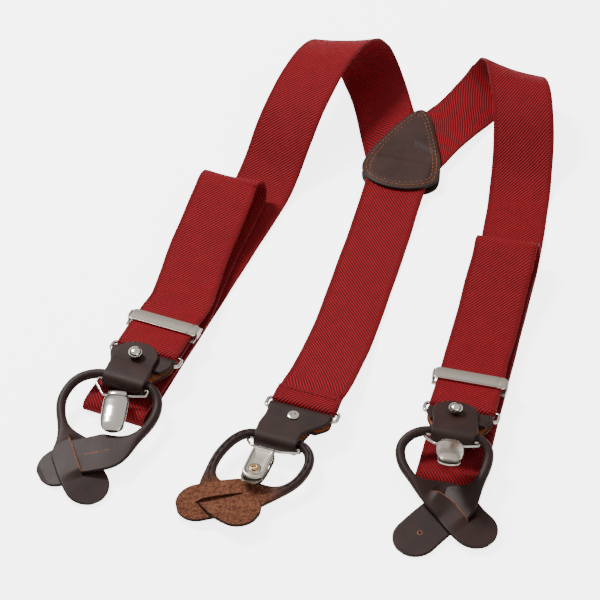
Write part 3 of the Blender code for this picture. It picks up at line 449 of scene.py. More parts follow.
def add_piece(name, grids, material, body, replaces=(), smooth=50.0):
    """One closed mesh from grids. Each grid is a dict: points (rows, columns, 3), closed says whether its
    rows close on themselves, uv (rows, columns, 2), and flesh and edge are values of (rows, columns). Open
    grids are capped unless first_cap or last_cap is False. Points that coincide are merged, so grids that
    share a border become one surface."""
    points, faces, uvs, start = [], [], [], 0
    values = {key: [] for key in ("flesh", "edge")}
    for grid in grids:
        rows, columns = grid["points"].shape[:2]
        points.append(grid["points"].reshape(-1, 3))
        faces += grid_faces(rows, columns, grid.get("closed", False), True, start)
        for row, wanted in ((0, "first_cap"), (rows - 1, "last_cap")):
            if not grid.get("closed", False) and grid.get(wanted, True):
                faces.append([start + row * columns + k for k in range(columns)])
        uvs.append(np.asarray(grid.get("uv", np.zeros((rows, columns, 2)))).reshape(-1, 2))
        for key, found in values.items():
            found.append(np.broadcast_to(grid.get(key, 0.0), (rows, columns)).reshape(-1))
        start += rows * columns
    mesh = bpy.data.meshes.new(name)
    mesh.from_pydata((np.concatenate(points) * MM).tolist(), [], faces)
    layer = mesh.uv_layers.new(name="strap")
    corner = np.empty(len(mesh.loops), np.int32)
    mesh.loops.foreach_get("vertex_index", corner)
    layer.data.foreach_set("uv", np.concatenate(uvs)[corner].astype(np.float32).ravel())
    for key, found in values.items():
        attribute = mesh.attributes.new(key, "FLOAT", "POINT")
        attribute.data.foreach_set("value", np.concatenate(found).astype(np.float32))
    shape = bmesh.new()
    shape.from_mesh(mesh)
    bmesh.ops.remove_doubles(shape, verts=shape.verts, dist=1e-7)
    bmesh.ops.recalc_face_normals(shape, faces=shape.faces)
    shape.to_mesh(mesh)
    shape.free()
    mesh.shade_smooth()
    mesh.set_sharp_from_angle(angle=math.radians(smooth))
    mesh.materials.append(material)
    piece = bpy.data.objects.new(name, mesh)
    bpy.context.scene.collection.objects.link(piece)
    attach(piece, body)
    if replaces:
        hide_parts(*replaces)
    return piece


def section(half, depth, flat, count=33):
    """A strap's cross section for each row, as positions across and above its middle. Columns sit at the
    cosines of even angles. A flat row has full depth until near its edge, where it rounds off as a
    quarter circle; a round row has depth times the sine; flat mixes the two. The second half of the
    columns is the under side. Also gives which side each point is on and how near the cut edge it is."""
    angle = np.linspace(math.pi, 0, count)
    column = np.cos(angle)
    from_edge = half[:, None] * (1 - np.abs(column))
    corner = 1 - np.clip(from_edge / (0.8 * depth[:, None]), 0, 1)
    flat_high = 0.35 + 0.65 * np.sqrt(1 - corner**2)
    round_high = np.maximum(np.sin(angle), 0.12)
    high = depth[:, None] * ((1 - flat[:, None]) * round_high + flat[:, None] * flat_high)
    across = half[:, None] * column
    side = np.concatenate([np.ones(count), -np.ones(count)])
    edge = np.clip(1.25 - from_edge / 0.7, 0, 1) * flat[:, None]
    return (
        np.hstack([across, across[:, ::-1]]),
        np.hstack([high, -high[:, ::-1]]),
        side,
        np.hstack([edge, edge[:, ::-1]]),
    )


def tube(points, diameter, around=20, closed=False):
    """A round wire: circles square to the path's tangent, carried along it without twisting."""
    tangent = (np.roll(points, -1, 0) - np.roll(points, 1, 0)) if closed else np.gradient(points, axis=0)
    tangent = unit(tangent)
    normal = unit(np.cross(tangent[0], [0.3, 0.2, 0.93]))
    normals = []
    for t in tangent:
        normal = unit(normal - (normal @ t) * t)
        normals.append(normal)
    normals = np.array(normals)
    other = np.cross(tangent, normals)
    angles = np.linspace(0, 2 * math.pi, around, endpoint=False)
    ring = np.cos(angles)[None, :, None] * normals[:, None] + np.sin(angles)[None, :, None] * other[:, None]
    return dict(points=points[:, None] + diameter / 2 * ring, closed=closed)


def turned_solid(profile, place, around=48):
    """A solid of revolution about the placement's w axis, from (radius, height) points."""
    profile = np.asarray(profile, float)
    angles = np.linspace(0, 2 * math.pi, around, endpoint=False)
    radius, height = profile[:, :1], profile[:, 1:]
    local = np.stack([radius * np.cos(angles), radius * np.sin(angles), height + 0 * angles], -1)
    return dict(points=place(local))


def stitches(starts, ends, ups, diameter=0.55, sides=8, steps=7):
    """A row of sewn stitches, one grid for each: a fat thread from start to end that rises out of the surface
    as half a sine and thins at both ends."""
    t = np.linspace(0, 1, steps)
    found = []
    angles = np.linspace(0, 2 * math.pi, sides, endpoint=False)
    for start, end, up in zip(starts, ends, ups):
        along = unit(end - start)
        side = np.cross(up, along)
        middle = start + t[:, None] * (end - start) + up * (np.sin(math.pi * t) * 0.22 - 0.12)[:, None]
        thick = diameter / 2 * (0.45 + 0.55 * np.sin(math.pi * t) ** 0.5)
        ring = np.cos(angles)[:, None] * side + np.sin(angles)[:, None] * up
        found.append(dict(points=middle[:, None] + thick[:, None, None] * ring[None]))
    return found


def sewn_line(path, ups, pitch=3.1, length=2.5):
    """Stitches along a path of points: one begins every pitch and is length long."""
    run = lengths_along(path)
    starts = np.arange(0.3, run[-1] - length, pitch)

    def at(rows, where):
        return np.stack([np.interp(where, run, column) for column in rows.T], 1)

    return stitches(at(path, starts), at(path, starts + length), at(ups, starts + length / 2))


# ---------------------------------------------------------------- placements of the three ends
HEADINGS = {"left": 21.0, "right": 13.5, "rear": 19.0}
STRAP_PLACES = {
    "left": Place((-143.0, -170.6, 12.5), HEADINGS["left"], 8.0),
    "right": Place((25.2, -212.6, 12.5), HEADINGS["right"], 8.0),
    "rear": Place((-58.7, -209.4, 11.2), HEADINGS["rear"], 4.0),
}
PITCHES = {"left": 0.0, "right": 13.0, "rear": 0.0}
SHIFTS = {"left": -1.5, "right": 0.0, "rear": 6.0}
# For each end: how far its bail leans down, how far its clip does, the clip's turn and how far it is aside.
LEANS = {
    "left": (6.0, 5.0, 15.0, 0.0),
    "right": (-10.0, -14.0, 8.0, 0.0),
    "rear": (22.0, 3.0, 0.0, 3.0),
}


def make_end(side):
    flipped = side == "rear"
    start = STRAP_PLACES[side]((BAR, 0, 0))
    skin = Place(start, HEADINGS[side], PITCHES[side], flipped)
    fold_start = skin((0, SHIFTS[side], 0))
    return dict(
        side=side,
        strap=STRAP_PLACES[side],
        skin=skin,
        hang=Place(fold_start, HEADINGS[side], PITCHES[side], flipped),
        loop=Place(fold_start, HEADINGS[side], 0.0, flipped),
        aside=POST_ASIDE if flipped else -POST_ASIDE,
        shift=SHIFTS[side],
    )


ENDS = {side: make_end(side) for side in HEADINGS}


# ---------------------------------------------------------------- webbings
def half_turn(middle, heading, radius, axis_angle, shift=(0, 0)):
    """Stations of a half turn in the upright plane of a heading, its far side along the heading."""
    turn = math.radians(heading)
    along = np.array([-math.sin(turn), -math.cos(turn)])
    found = []
    for step in range(5):
        angle = math.pi * step / 4
        x, y = np.asarray(middle[:2]) + along * radius * math.sin(angle)
        x += shift[0] * (step / 4 - 0.5)
        y += shift[1] * (step / 4 - 0.5)
        found.append((x, y, middle[2] - radius * math.cos(angle), axis_angle, 0))
    return found


def ring_turn(place, heading, run):
    """Stations of the webbing over a ring's bar and back behind itself."""
    local = [(-run[0], 0, WEB_TURN), (-BAR - 4.5, 0, WEB_TURN)]
    for step in range(5):
        angle = math.pi * step / 4
        local.append((-BAR + WEB_TURN * math.sin(angle), 0, WEB_TURN * math.cos(angle)))
    local += [(-BAR - 4.5, 0, -WEB_TURN), (-BAR - run[1], 0, -WEB_TURN)]
    return [(*place(p), -heading, 0) for p in local]


LEFT_ROUTE = (
    [
        (-5.5, 5.5, LAYER_1, 8, 0),
        (-7.6, 20.5, LAYER_1, 8, 0),
        (-10.0, 38.0, 1.6, 7, 0),
        (-12.5, 52.0, 1.5, 4, 0),
        (-16.5, 64.5, 5.0, 0, 3),
        (-22.0, 71.5, 14.0, -4, 6),
        (-28.0, 70.5, 25.0, -8, 9),
        (-35.5, 62.5, 33.0, -12, 9),
        (-44.0, 50.0, 36.0, -15, 7),
        (-53.0, 32.0, 35.0, -18, 4),
        (-62.5, 11.0, 29.5, -20, 2),
        (-69.5, -4.0, 20.5, -21, 0),
        (-76.2, -19.0, 9.0, -22, 0),
        (-82.6, -33.0, 2.4, -23, 0),
        (-91.5, -52.0, FLOOR, -23.7, 0),
        (-118.0, -112.0, FLOOR, -23.7, 0),
        (-140.0, -162.0, FLOOR, -23.7, 0),
        (-154.0, -194.5, FLOOR, -23.5, 0),
    ]
    + half_turn((-158.4, -204.2, FLOOR + LOW_TURN), 22.0, LOW_TURN, -22.0)
    + [
        (-155.4, -196.6, 6.2, -23, 0),
        (-149.5, -184.0, 5.0, -23, 0),
        (-139.0, -161.0, 4.0, -22, 0),
        (-126.4, -132.2, 3.6, -20, 0),
        (-118.0, -104.0, 3.6, -19, 0),
        (-110.0, -78.6, 4.2, -18, 0),
        (-103.0, -60.0, 5.6, -17, 0),
    ]
    + half_turn((-98.6, -41.5, 12.4), 180 + 18.0, TOP_TURN, -16.0, shift=(-3.6, 1.2))
    + [
        (-104.0, -52.5, 17.2, -15, 0),
        (-109.6, -69.0, 13.4, -15, 0),
        (-116.8, -90.5, 9.4, -15, 0),
        (-121.4, -109.8, 8.2, -16, 0),
        (-125.6, -127.3, 8.8, -20, 0),
    ]
    + ring_turn(STRAP_PLACES["left"], HEADINGS["left"], (34.0, 24.0))
)
RIGHT_ROUTE = (
    [
        (13.5, 3.0, LAYER_2, -33, 0),
        (21.2, 13.6, LAYER_2, -33, 0),
        (29.4, 24.4, 3.0, -33, 0),
        (37.5, 34.5, 1.6, -31, 0),
        (45.4, 44.2, 2.0, -28, -2),
        (54.0, 51.6, 6.0, -25, -5),
        (61.4, 53.0, 15.0, -22, -8),
        (65.6, 46.8, 24.6, -19, -8),
        (67.8, 35.5, 29.4, -14, -6),
        (69.2, 22.0, 29.6, -9, -3),
        (69.9, 7.5, 25.0, -5, -1),
        (69.6, -8.0, 15.0, -4, 0),
        (68.2, -22.0, 6.2, -4, 0),
        (66.2, -37.0, 1.6, -6, 0),
        (62.8, -58.0, FLOOR, -9, 0),
        (57.1, -88.0, FLOOR, -13, 0),
        (45.4, -137.0, FLOOR, -14, 0),
        (33.2, -186.6, FLOOR, -13.7, 0),
        (20.4, -240.0, FLOOR, -13.5, 0),
    ]
    + half_turn((17.5, -252.2, FLOOR + LOW_TURN), 13.5, LOW_TURN, -13.5)
    + [
        (19.2, -245.0, 6.2, -13.5, 0),
        (22.0, -233.0, 5.2, -13.5, 0),
        (28.4, -206.0, 4.0, -13.5, 0),
        (38.8, -163.0, 3.6, -14, 0),
        (46.6, -131.0, 4.0, -14, 0),
        (50.8, -113.0, 5.6, -13, 0),
    ]
    + half_turn((55.8, -92.4, 12.4), 180 + 12.0, TOP_TURN, -11.0, shift=(-1.6, 0.3))
    + [
        (52.8, -102.5, 17.0, -12, 0),
        (48.4, -118.5, 13.2, -13, 0),
        (43.4, -139.0, 9.8, -13, 0),
        (39.0, -156.0, 8.9, -13.5, 0),
        (35.4, -169.5, 9.3, -14, 0),
    ]
    + ring_turn(STRAP_PLACES["right"], HEADINGS["right"], (34.0, 24.0))
)
REAR_ROUTE = [
    (-0.6, -14.5, LAYER_2, -15, 0),
    (-4.6, -28.5, LAYER_2, -15.5, 0),
    (-9.2, -45.0, 2.2, -15.5, 0),
    (-15.4, -69.0, FLOOR, -15, 0),
    (-26.2, -108.7, FLOOR, -15.5, 0),
    (-36.2, -145.4, 2.4, -17, 0),
    (-44.2, -171.0, 6.2, -18, 0),
    (-49.6, -186.0, 8.4, -19, 0),
] + [
    (*STRAP_PLACES["rear"](p), -19.0, 0)
    for p in (
        [(-17.0, 0, -0.9), (-12.0, 0, -1.0), (-BAR - 4.0, 0, -WEB_TURN)]
        + [
            (-BAR + WEB_TURN * math.sin(a), 0, -WEB_TURN * math.cos(a))
            for a in np.linspace(0, math.pi, 5)
        ]
        + [(-BAR - 4.0, 0, WEB_TURN - 0.1), (-BAR - 9.5, 0, 1.4)]
    )
]


def webbing(name, stations, twill, slant=0.0, slant_run=32.0, ragged=0.0):
    """A woven strap carried along its route. Its width axis lies at the station's plan angle, leaned out of
    the level, and square to the route. Both edges roll off and waver by about a tenth of a millimetre, and
    the route is lifted where a corner would go under the surface it lies on. A slanted start and a ragged
    end move the two edges along the route by different amounts. twill is its ribs' slant, 1 or -1."""
    rows, tangent, run = evenly(spline(stations), 1.0)
    angle, lean = np.radians(rows[:, 3]), np.radians(rows[:, 4])
    across = np.stack([np.cos(angle) * np.cos(lean), np.sin(angle) * np.cos(lean), np.sin(lean)], 1)
    across = unit(across - (across * tangent).sum(1)[:, None] * tangent)
    face = np.cross(tangent, across)
    low = rows[:, 2] - abs(across[:, 2]) * WEB_WIDTH / 2 - abs(face[:, 2]) * WEB_THICK / 2
    rows[:, 2] += np.maximum(-low, 0)
    count = len(rows)
    half = np.full(count, WEB_WIDTH / 2) + 0.12 * np.sin(run / 7.3) * np.sin(run / 17.0)
    v, w, _, _ = section(half, np.full(count, WEB_THICK / 2), np.ones(count), 25)
    skew = slant * np.clip(1 - run / slant_run, 0, 1)
    frayed = ragged * np.clip(1 - (run[-1] - run) / 3.0, 0, 1)
    jag = np.sin(v * 2.1) * 0.5 + np.sin(v * 5.7 + 1) * 0.5
    slide = skew[:, None] * v / (WEB_WIDTH / 2) + frayed[:, None] * jag
    points = rows[:, None, :3] + across[:, None] * v[..., None] + face[:, None] * w[..., None]
    points = points + tangent[:, None] * slide[..., None]
    uv = np.stack([twill * v, np.broadcast_to(run[:, None], v.shape)], -1)
    piece = add_piece(name, [dict(points=points, uv=uv)], WEBBING, "straps", [name.replace("_woven", "")])


# ---------------------------------------------------------------- back patch
def patch_layer(name, low, high, material, node, swell=0.0):
    """A leather triangle as one surface: rings of its rounded outline shrunk towards its middle, first up the
    cut edge, then over the rolled-off rim, then across the top, which swells over the webbings inside."""
    outline = around_outline(closed_curve(PATCH_OUTLINE), 240)
    middle = outline.mean(0)
    thick = high - low
    levels = [(0.02, low), (0.6, low), (0.975, low), (1.0, low + 0.2 * thick), (1.0, low + 0.7 * thick)]
    levels += [(0.992, low + 0.92 * thick), (0.975, high), (0.94, high), (0.9, high)]
    inner = np.linspace(0.86, 0.02, 26)
    rings, edge = [], []
    for scale, height in levels + [(s, high) for s in inner]:
        flat = middle + (outline - middle) * scale
        raised = 0.0
        if height >= high:
            raised = swell * covered(flat) * np.clip((0.975 - scale) / 0.1, 0, 1)
        rings.append(np.column_stack([flat, height + raised + 0 * flat[:, 0]]))
        edge.append(np.full(len(flat), 1.0 if scale >= 0.992 else 0.0))
    points = np.array(rings)
    grid = dict(points=points, edge=np.array(edge))
    add_piece(name, [grid], material, "straps", [node])


def covered(points):
    """How far a point lies over the webbings that end in the patch: one inside a strap's width, falling to
    nothing within two millimetres of its edge. Each strap is a straight band with a start."""
    total = np.zeros(len(points))
    bands = [((-5.5, 5.5), (-10.0, 38.0)), ((13.5, 3.0), (29.4, 24.4)), ((-0.6, -14.5), (-9.2, -45.0))]
    for start, end in bands:
        start, along = np.array(start), unit(np.subtract(end, start))
        off = points - start
        forward = off @ along
        aside = np.abs(off @ np.array([-along[1], along[0]]))
        inside = np.clip((WEB_WIDTH / 2 + 1 - aside) / 2.5, 0, 1) * np.clip((forward + 6) / 5, 0, 1)
        total = np.maximum(total, inside**2 * (3 - 2 * inside))
    return total


def patch_stitching():
    """Two rows of tan stitches round the patch, 2.4 and 4.6 mm inside its cut edge."""
    outline = around_outline(closed_curve(PATCH_OUTLINE), 480)
    middle = outline.mean(0)
    grids = []
    for inset in (2.4, 4.6):
        step = np.roll(outline, -1, 0) - np.roll(outline, 1, 0)
        inward = unit(np.column_stack([-step[:, 1], step[:, 0]]))
        inward *= np.sign(((middle - outline) * inward).sum(1))[:, None]
        line = outline + inward * inset
        height = PATCH_TOP + PATCH_LEATHER + PATCH_SWELL * covered(line) * 0.6 + 0.03
        path = np.column_stack([line, height])
        path = np.vstack([path, path[:1]])
        grids += sewn_line(path, np.tile([0.0, 0.0, 1.0], (len(path), 1)))
    add_piece("patch_stitching", grids, TAN_THREAD, "straps")


PATCH_SWELL = 0.7


# ---------------------------------------------------------------- hangers, studs and rings
def ring(end):
    place = end["strap"]
    half = (RING_LENGTH - RING_WIRE) / 2
    corners = [(-BAR, -half), (-BAR, half), (BAR, half), (BAR, -half)]
    outline = around_outline(rounded(corners, RING_CORNER, 14), 180)
    path = place(np.column_stack([outline, np.zeros(len(outline))]))
    name = f"{end['side']}_ring"
    add_piece(f"{name}_wire", [tube(path, RING_WIRE, 24, True)], POLISHED_NICKEL, name, [name])


def hanger(end):
    """The hanger strap in its own plane: round the ring's bar, along the back, round the loop and the bail,
    and forward to a flap with a round tip. Its sides follow the half width given at each station."""
    wrap, top, half = HANGER_WIDE / 2, SKIN_TURN, HANGER_WIDTH / 2
    aside = end["aside"]
    stations = [(WRAP_END, 0, top, wrap - 3), (4, 0, top, wrap)]
    for angle in np.linspace(0, math.pi, 7):
        stations.append((-SKIN_TURN * math.sin(angle), 0, top * math.cos(angle), wrap))
    stations += [(4.0, 0, -top, wrap - 0.6), (8.5, 0, -top, wrap - 2.6)]
    stations += [(13.0, 0, -top, half + 1.0), (17.0, 0, -top, half)]
    for angle in np.linspace(0, math.pi, 9):
        out, rise = FOLD_TURN * math.sin(angle), CORD_UP - FOLD_TURN * math.cos(angle)
        stations.append((FOLD_MIDDLE + out, 0, rise, half - 0.5 * math.sin(angle)))
    over = SKIN_TURN + LEATHER + GAP
    stations += [
        (17.0, 0, FOLD_TOP, half),
        (11.5, 0.4 * aside, max(FOLD_TOP - 0.4, over), half),
        (8.5, 0.8 * aside, over + 0.2, half),
        (4.0, aside, over, half),
    ]
    reach = 3.0 - FLAP_TIP
    for angle in np.radians([0, 20, 38, 54, 68, 80]):
        stations.append((3.0 - reach * math.sin(angle), aside, over, max(half * math.cos(angle), 2.0)))
    rows, tangent, run = evenly(spline(stations), 0.5)
    tangent[:, 1] = 0
    tangent = unit(tangent)
    face = np.cross(tangent, [0, 1, 0])
    v, w, side, edge = section(rows[:, 3], np.full(len(rows), LEATHER / 2), np.ones(len(rows)))
    local = rows[:, None, :3] + v[..., None] * np.array([0.0, 1.0, 0.0]) + face[:, None] * w[..., None]
    local = moved(local, end["shift"])
    flesh = np.broadcast_to((side > 0) * 1.0, v.shape)
    ends = np.clip(1.3 - np.minimum(run, run[-1] - run) / 0.6, 0, 1)[:, None]
    grid = dict(points=end["skin"](local), flesh=flesh, edge=np.maximum(edge, ends))
    name = f"{end['side']}_hanger"
    piece = add_piece(f"{name}_strap", [grid], SMOOTH_LEATHER, name, [f"{name}_leather"])


def stud(end):
    """A ball stud turned about its post: a dished rivet end behind, the post through both leathers, and a
    ball slightly flattened along the axis."""
    seat = end["skin"].moved((POST_AT, end["aside"], 0))
    back = -SKIN_TURN - LEATHER / 2 - GAP
    front = SKIN_TURN + LEATHER + GAP + LEATHER / 2 + GAP
    profile = [(0.05, back - 0.2), (1.0, back - 0.2), (1.4, back - 0.6), (2.2, back - 0.7)]
    profile += [(3.0, back - 0.35), (3.2, back), (1.1, back), (1.1, front), (1.3, front + 0.1)]
    for angle in np.radians(np.linspace(-70, 89, 30)):
        profile.append((BALL * math.cos(angle), front + BALL_LOW + BALL_LOW * math.sin(angle) * 0.98))
    side = end["side"]
    name = f"{side}_ball_stud"
    add_piece(f"{name}_turned", [turned_solid(profile, seat)], POLISHED_NICKEL, f"{side}_hanger", [name], 35)


# ---------------------------------------------------------------- button loops
ROUND = (CORD / 2, CORD / 2, 0.0)
FLAT = (TAB_WIDTH / 2, LEATHER / 2, 1.0)


def flat_run(points, tip_first):
    """Tab stations at full width: along the run, and three more out past its tip, which button_loop rounds
    off.
    """
    half, depth, flat = FLAT
    found = [(*p, half, depth, flat) for p in points]
    tip = found[0] if tip_first else found[-1]
    before = found[1] if tip_first else found[-2]
    out = unit(np.subtract(tip[:3], before[:3]))
    rounds = []
    for a in np.radians([30, 55, 75]):
        point = np.asarray(tip[:3]) + out * half * math.sin(a) * 0.95
        rounds.append((*point, half, depth, flat))
    return rounds[::-1] + found if tip_first else found + rounds


LOOPS = {
    "left": dict(
        slit=(71.5, -7.0),
        own_slit=((67.0, 3.5), 13),
        holes=[],
        first_tab=flat_run(
            [(85.5, 6, -9.6), (83, 3, -8.8), (78.5, -1.5, -8), (71.5, -7, -7.5), (66.5, -11, -7.3)], True
        )
        + [(63, -14, -7.1, 8, 1.3, 0.85), (59, -18, -6.7, 4.6, 1.9, 0.4)],
        first_arm=[(54, -22, -6), (47.5, -26, -4.8), (40.5, -28.5, -3.2)]
        + [(34, -28, -1.5), (27, -25.5, 0.2), (21.8, -19.5, 1.3)],
        second_arm=[(20.8, 17, 0.7), (25, 20.6, -1.2), (31, 22.5, -2.6), (38.5, 22.5, -3.4), (46, 21, -3.8)],
        second_tab=[(53, 18, -4, 3.8, 2, 0.3), (58.5, 14.5, -4.1, 7.6, 1.4, 0.8)]
        + flat_run(
            [(63.5, 9.5, -4.2), (67, 4, -4.8), (69.5, -1.5, -6.1)]
            + [(71.5, -7, -7.5), (76, -10, -9.2), (79.5, -13.5, -10.3)],
            False,
        ),
    ),
    "right": dict(
        slit=(54.5, 7.5),
        own_slit=None,
        holes=[(73.5, -6.0), (60.0, 13.5)],
        first_tab=flat_run(
            [(66.5, 21.5, -8.8), (62, 15, -8.2), (54.5, 7.5, -7.5), (52.4, 2.6, -6.3)], True
        )
        + [(51, -3.2, -5.2, 9, 1.2, 0.9), (49.4, -9, -3.8, 6, 1.6, 0.6)],
        first_arm=[(47, -14.5, -2.8), (43.5, -18.5, -2), (38.5, -23, -1)]
        + [(33, -25.5, 0.4), (28, -26, 2.2), (21.6, -20.4, 5.6)],
        second_arm=[(19.4, 16.8, 5.2), (22.5, 19.6, 3.2), (27.6, 20.4, 1)]
        + [(33.4, 19.8, -0.6), (39, 18.6, -1.8)],
        second_tab=[(45, 16.6, -2.9, 4, 2, 0.3), (50, 13, -4.3, 9, 1.2, 0.85)]
        + flat_run(
            [(52.4, 10.2, -6.2), (54.5, 7.5, -7.5), (61.5, 1.6, -9.9)] + [(69, -3.4, -10.8), (77, -8, -11.4)],
            False,
        ),
    ),
    "rear": dict(
        slit=(63.5, 15.0),
        own_slit=((57.5, 22.5), 4),
        holes=[],
        first_tab=flat_run([(69.5, 26.5, 7.2), (67.5, 23, 6.8), (63.5, 15, 5.9), (58.6, 4.4, 5.6)], True)
        + [(56, -2, 5.3, 8.5, 1.3, 0.85), (53, -8.6, 5, 4.6, 1.9, 0.4)],
        first_arm=[(48.5, -14.5, 4.6), (42.5, -18.5, 4.1), (36, -20.5, 3.5)]
        + [(28.6, -21, 2.9), (21.8, -18, 2.1)],
        second_arm=[(20.8, 17.2, 1.7), (26.6, 22, 2.2), (33, 24.8, 3), (40.5, 26.8, 4.2), (47.5, 27.2, 5.8)],
        second_tab=[(53, 26, 7.4, 4.6, 1.9, 0.4), (56.6, 23.4, 8.3, 8, 1.3, 0.85)]
        + flat_run([(59.4, 19.6, 7.9), (63.5, 15, 5.9), (67.5, 9.5, 4), (69, 3.5, 3.6)], False),
    ),
}


def loop_stations(end):
    """From the first tab's tip, up one arm, through the hanger's fold and down to the second tab's tip."""
    level, route = end["loop"], LOOPS[end["side"]]
    across = [share * HANGER_WIDTH for share in (-0.525, -0.375, 0.0, 0.375, 0.525)]
    in_fold = [end["hang"]((CORD_AT, v, CORD_UP)) - level.origin for v in across]
    cord = route["first_arm"] + [tuple(p @ level.axes.T) for p in in_fold] + route["second_arm"]
    tabs = [[tuple(p) for p in route[key]] for key in ("first_tab", "second_tab")]
    return tabs[0] + [(*p, *ROUND) for p in cord] + tabs[1]


def button_loop(end):
    """A leather strap that is flat at its tabs and rolled into a cord between them. In the first tab a slit
    runs down the middle: there the strap is two half strips, and they part, one up and one down, by a
    trapezium over the slit's length times the distance from the strap's edge. The cord's seam is a groove
    along its flesh side."""
    place, slit_at = end["loop"], np.asarray(LOOPS[end["side"]]["slit"])
    curve = spline(loop_stations(end), 0.3)
    curve = smoothed(curve, 12)
    run = lengths_along(curve)
    first_half = curve[: len(curve) // 2, :2]
    slit = run[int(np.argmin(np.linalg.norm(first_half - slit_at, axis=1)))]
    low, high = slit - SLIT_REACH, slit + SLIT_REACH
    low = max(low, 0.6)
    near_tip = np.array([0.15, 0.35, 0.8])
    rows, tangent, run = evenly(curve, 0.55, (low, high, *near_tip, *(run[-1] - near_tip)))
    from_tip = np.minimum(run, run[-1] - run) + 0.3
    radius = TAB_WIDTH / 2
    arc = np.sqrt(np.clip(radius**2 - np.clip(radius - from_tip, 0, None) ** 2, 0, None))
    rows[:, 3] = np.minimum(rows[:, 3], arc)
    across = np.cross([0, 0, 1.0], tangent)
    across[:, 2] = 0
    across = unit(across)
    face = np.cross(tangent, across)
    v, w, side, edge = section(rows[:, 3], rows[:, 4], rows[:, 5])
    count = v.shape[1] // 2
    flat = rows[:, 5:6]
    column = np.hstack([np.cos(np.linspace(math.pi, 0, count)), np.cos(np.linspace(0, math.pi, count))])
    seam = np.exp(-((v / 0.55) ** 2)) * (side < 0) * (1 - flat) * (0.75 + 0.25 * np.sin(run * 1.3)[:, None])
    w = w * (1 - 0.3 * seam)
    opening = np.clip((SLIT_REACH - np.abs(run - slit)) / 5.0, 0, 1)[:, None]
    opening = opening**2 * (3 - 2 * opening)
    lift = SLIT_LIFT * opening * (1 - np.abs(column))
    fleshy = (side < 0) * np.clip(flat * 1.4, 0, 1)
    seam_dark = seam * 0.8
    tip = np.clip(1.3 - np.minimum(run, run[-1] - run) / 0.6, 0, 1)[:, None]
    edge = np.clip(np.maximum(edge, tip) + seam_dark, 0, 1)

    def grid(start, stop, columns, sign, caps):
        part = slice(start, stop)
        high_w = w[part][:, columns] + sign * lift[part][:, columns]
        points = (
            rows[part, None, :3]
            + across[part, None] * v[part][:, columns, None]
            + face[part, None] * high_w[..., None]
        )
        world = place(points)
        world[..., 2] += np.maximum(-world[..., 2].min(1), 0)[:, None]
        return dict(
            points=world,
            flesh=fleshy[part][:, columns],
            edge=np.maximum(edge[part][:, columns], 0),
            first_cap=caps[0],
            last_cap=caps[1],
        )

    first, last = int(np.argmin(np.abs(run - low))), int(np.argmin(np.abs(run - high)))
    middle = count // 2
    whole = np.arange(2 * count)
    near = np.concatenate([np.arange(middle + 1), np.arange(2 * count - 1 - middle, 2 * count)])
    far = np.arange(middle, 2 * count - middle)
    grids = [grid(0, first + 1, whole, 0, (True, False)), grid(last, len(run), whole, 0, (False, True))]
    halves = [grid(first, last + 1, near, -1, (False, False)), grid(first, last + 1, far, 1, (False, False))]
    grids += halves
    # The slit's raw lips, as thin fillets of undyed leather along both sides of it. Where own_slit is given,
    # the other tab has an empty slit too, a shallow closed cut.
    lips = [half["points"][4:-4, middle if half is halves[0] else 0] for half in halves]
    lips = [path for path in lips if len(path) > 8]
    own = LOOPS[end["side"]]["own_slit"]
    upper = 1 if end["side"] != "rear" else -1
    if own:
        centre = int(np.argmin(np.linalg.norm(rows[:, :2] - np.asarray(own[0]), axis=1)))
        part = slice(centre - own[1], centre + own[1])
        lips.append(place(rows[part, :3] + upper * face[part] * (rows[part, 4:5] - 0.12)))
    for path in lips:
        grids.append(dict(flesh=1.0, **tube(path, 0.4, 8)))
    for u, v_at in LOOPS[end["side"]]["holes"]:
        k = int(np.argmin(np.linalg.norm(rows[:, :2] - np.array([u, v_at]), axis=1)))
        seat = Place(place(rows[k, :3] + upper * face[k] * (rows[k, 4] - 0.1)), 0)
        seat.axes = np.array([tangent[k], across[k], upper * face[k]]) @ place.axes
        # Each hole: a raw rim of undyed leather round it, and in it a disc in the cut colour that is painted
        # shade for the hole.
        raw_rim = [(0.9, 0.0), (1.1, 0.15), (1.45, 0.1), (1.55, 0.0)]
        hole_shade_disc = [(0.05, 0.12), (0.9, 0.1), (0.95, -0.2), (0.05, -0.2)]
        grids.append(dict(flesh=1.0, **turned_solid(raw_rim, seat, 20)))
        grids.append(dict(edge=1.0, **turned_solid(hole_shade_disc, seat, 20)))
    side_name = end["side"]
    material = SUEDE_LEATHER if side_name == "rear" else SMOOTH_LEATHER
    piece = add_piece(
        f"{side_name}_button_loop_strap", grids, material, f"{side_name}_loop", [f"{side_name}_button_loop"]
    )


# ---------------------------------------------------------------- clips
def bail(end):
    """A bent wire through the hanger's fold, down both sides and hooked in to the clip: straight runs whose
    corners are rounded by averaging the path along its length."""
    lean, _, yaw, aside = LEANS[end["side"]]
    tilt, place = math.radians(lean), end["hang"]
    wide, narrow = BAIL_WIDE / 2, BAIL_NARROW / 2
    low = []
    for at in (-narrow + 1.2, -narrow - 1.5, narrow + 1.5, narrow - 1.2):
        u, v = turned(yaw, (0, at))
        low.append((v + aside, BAIL_DROP + u))
    out, past_fold = wide - 0.15, FOLD_NOSE + 0.4
    high = [(-out, past_fold), (-out, 0.0), (out, 0.0), (out, past_fold)]
    path = low[:2] + high + low[2:]
    path = [place((BAIL_AT + d * math.cos(tilt), v, CORD_UP - d * math.sin(tilt))) for v, d in path]
    side = end["side"]
    wire = evenly(smoothed(evenly(np.array(path), 0.1)[0], 8), 0.3)[0]
    name = f"{side}_bail"
    add_piece(f"{name}_wire", [tube(wire, BAIL_WIRE)], POLISHED_NICKEL, name, [f"{side}_clip_bail"])


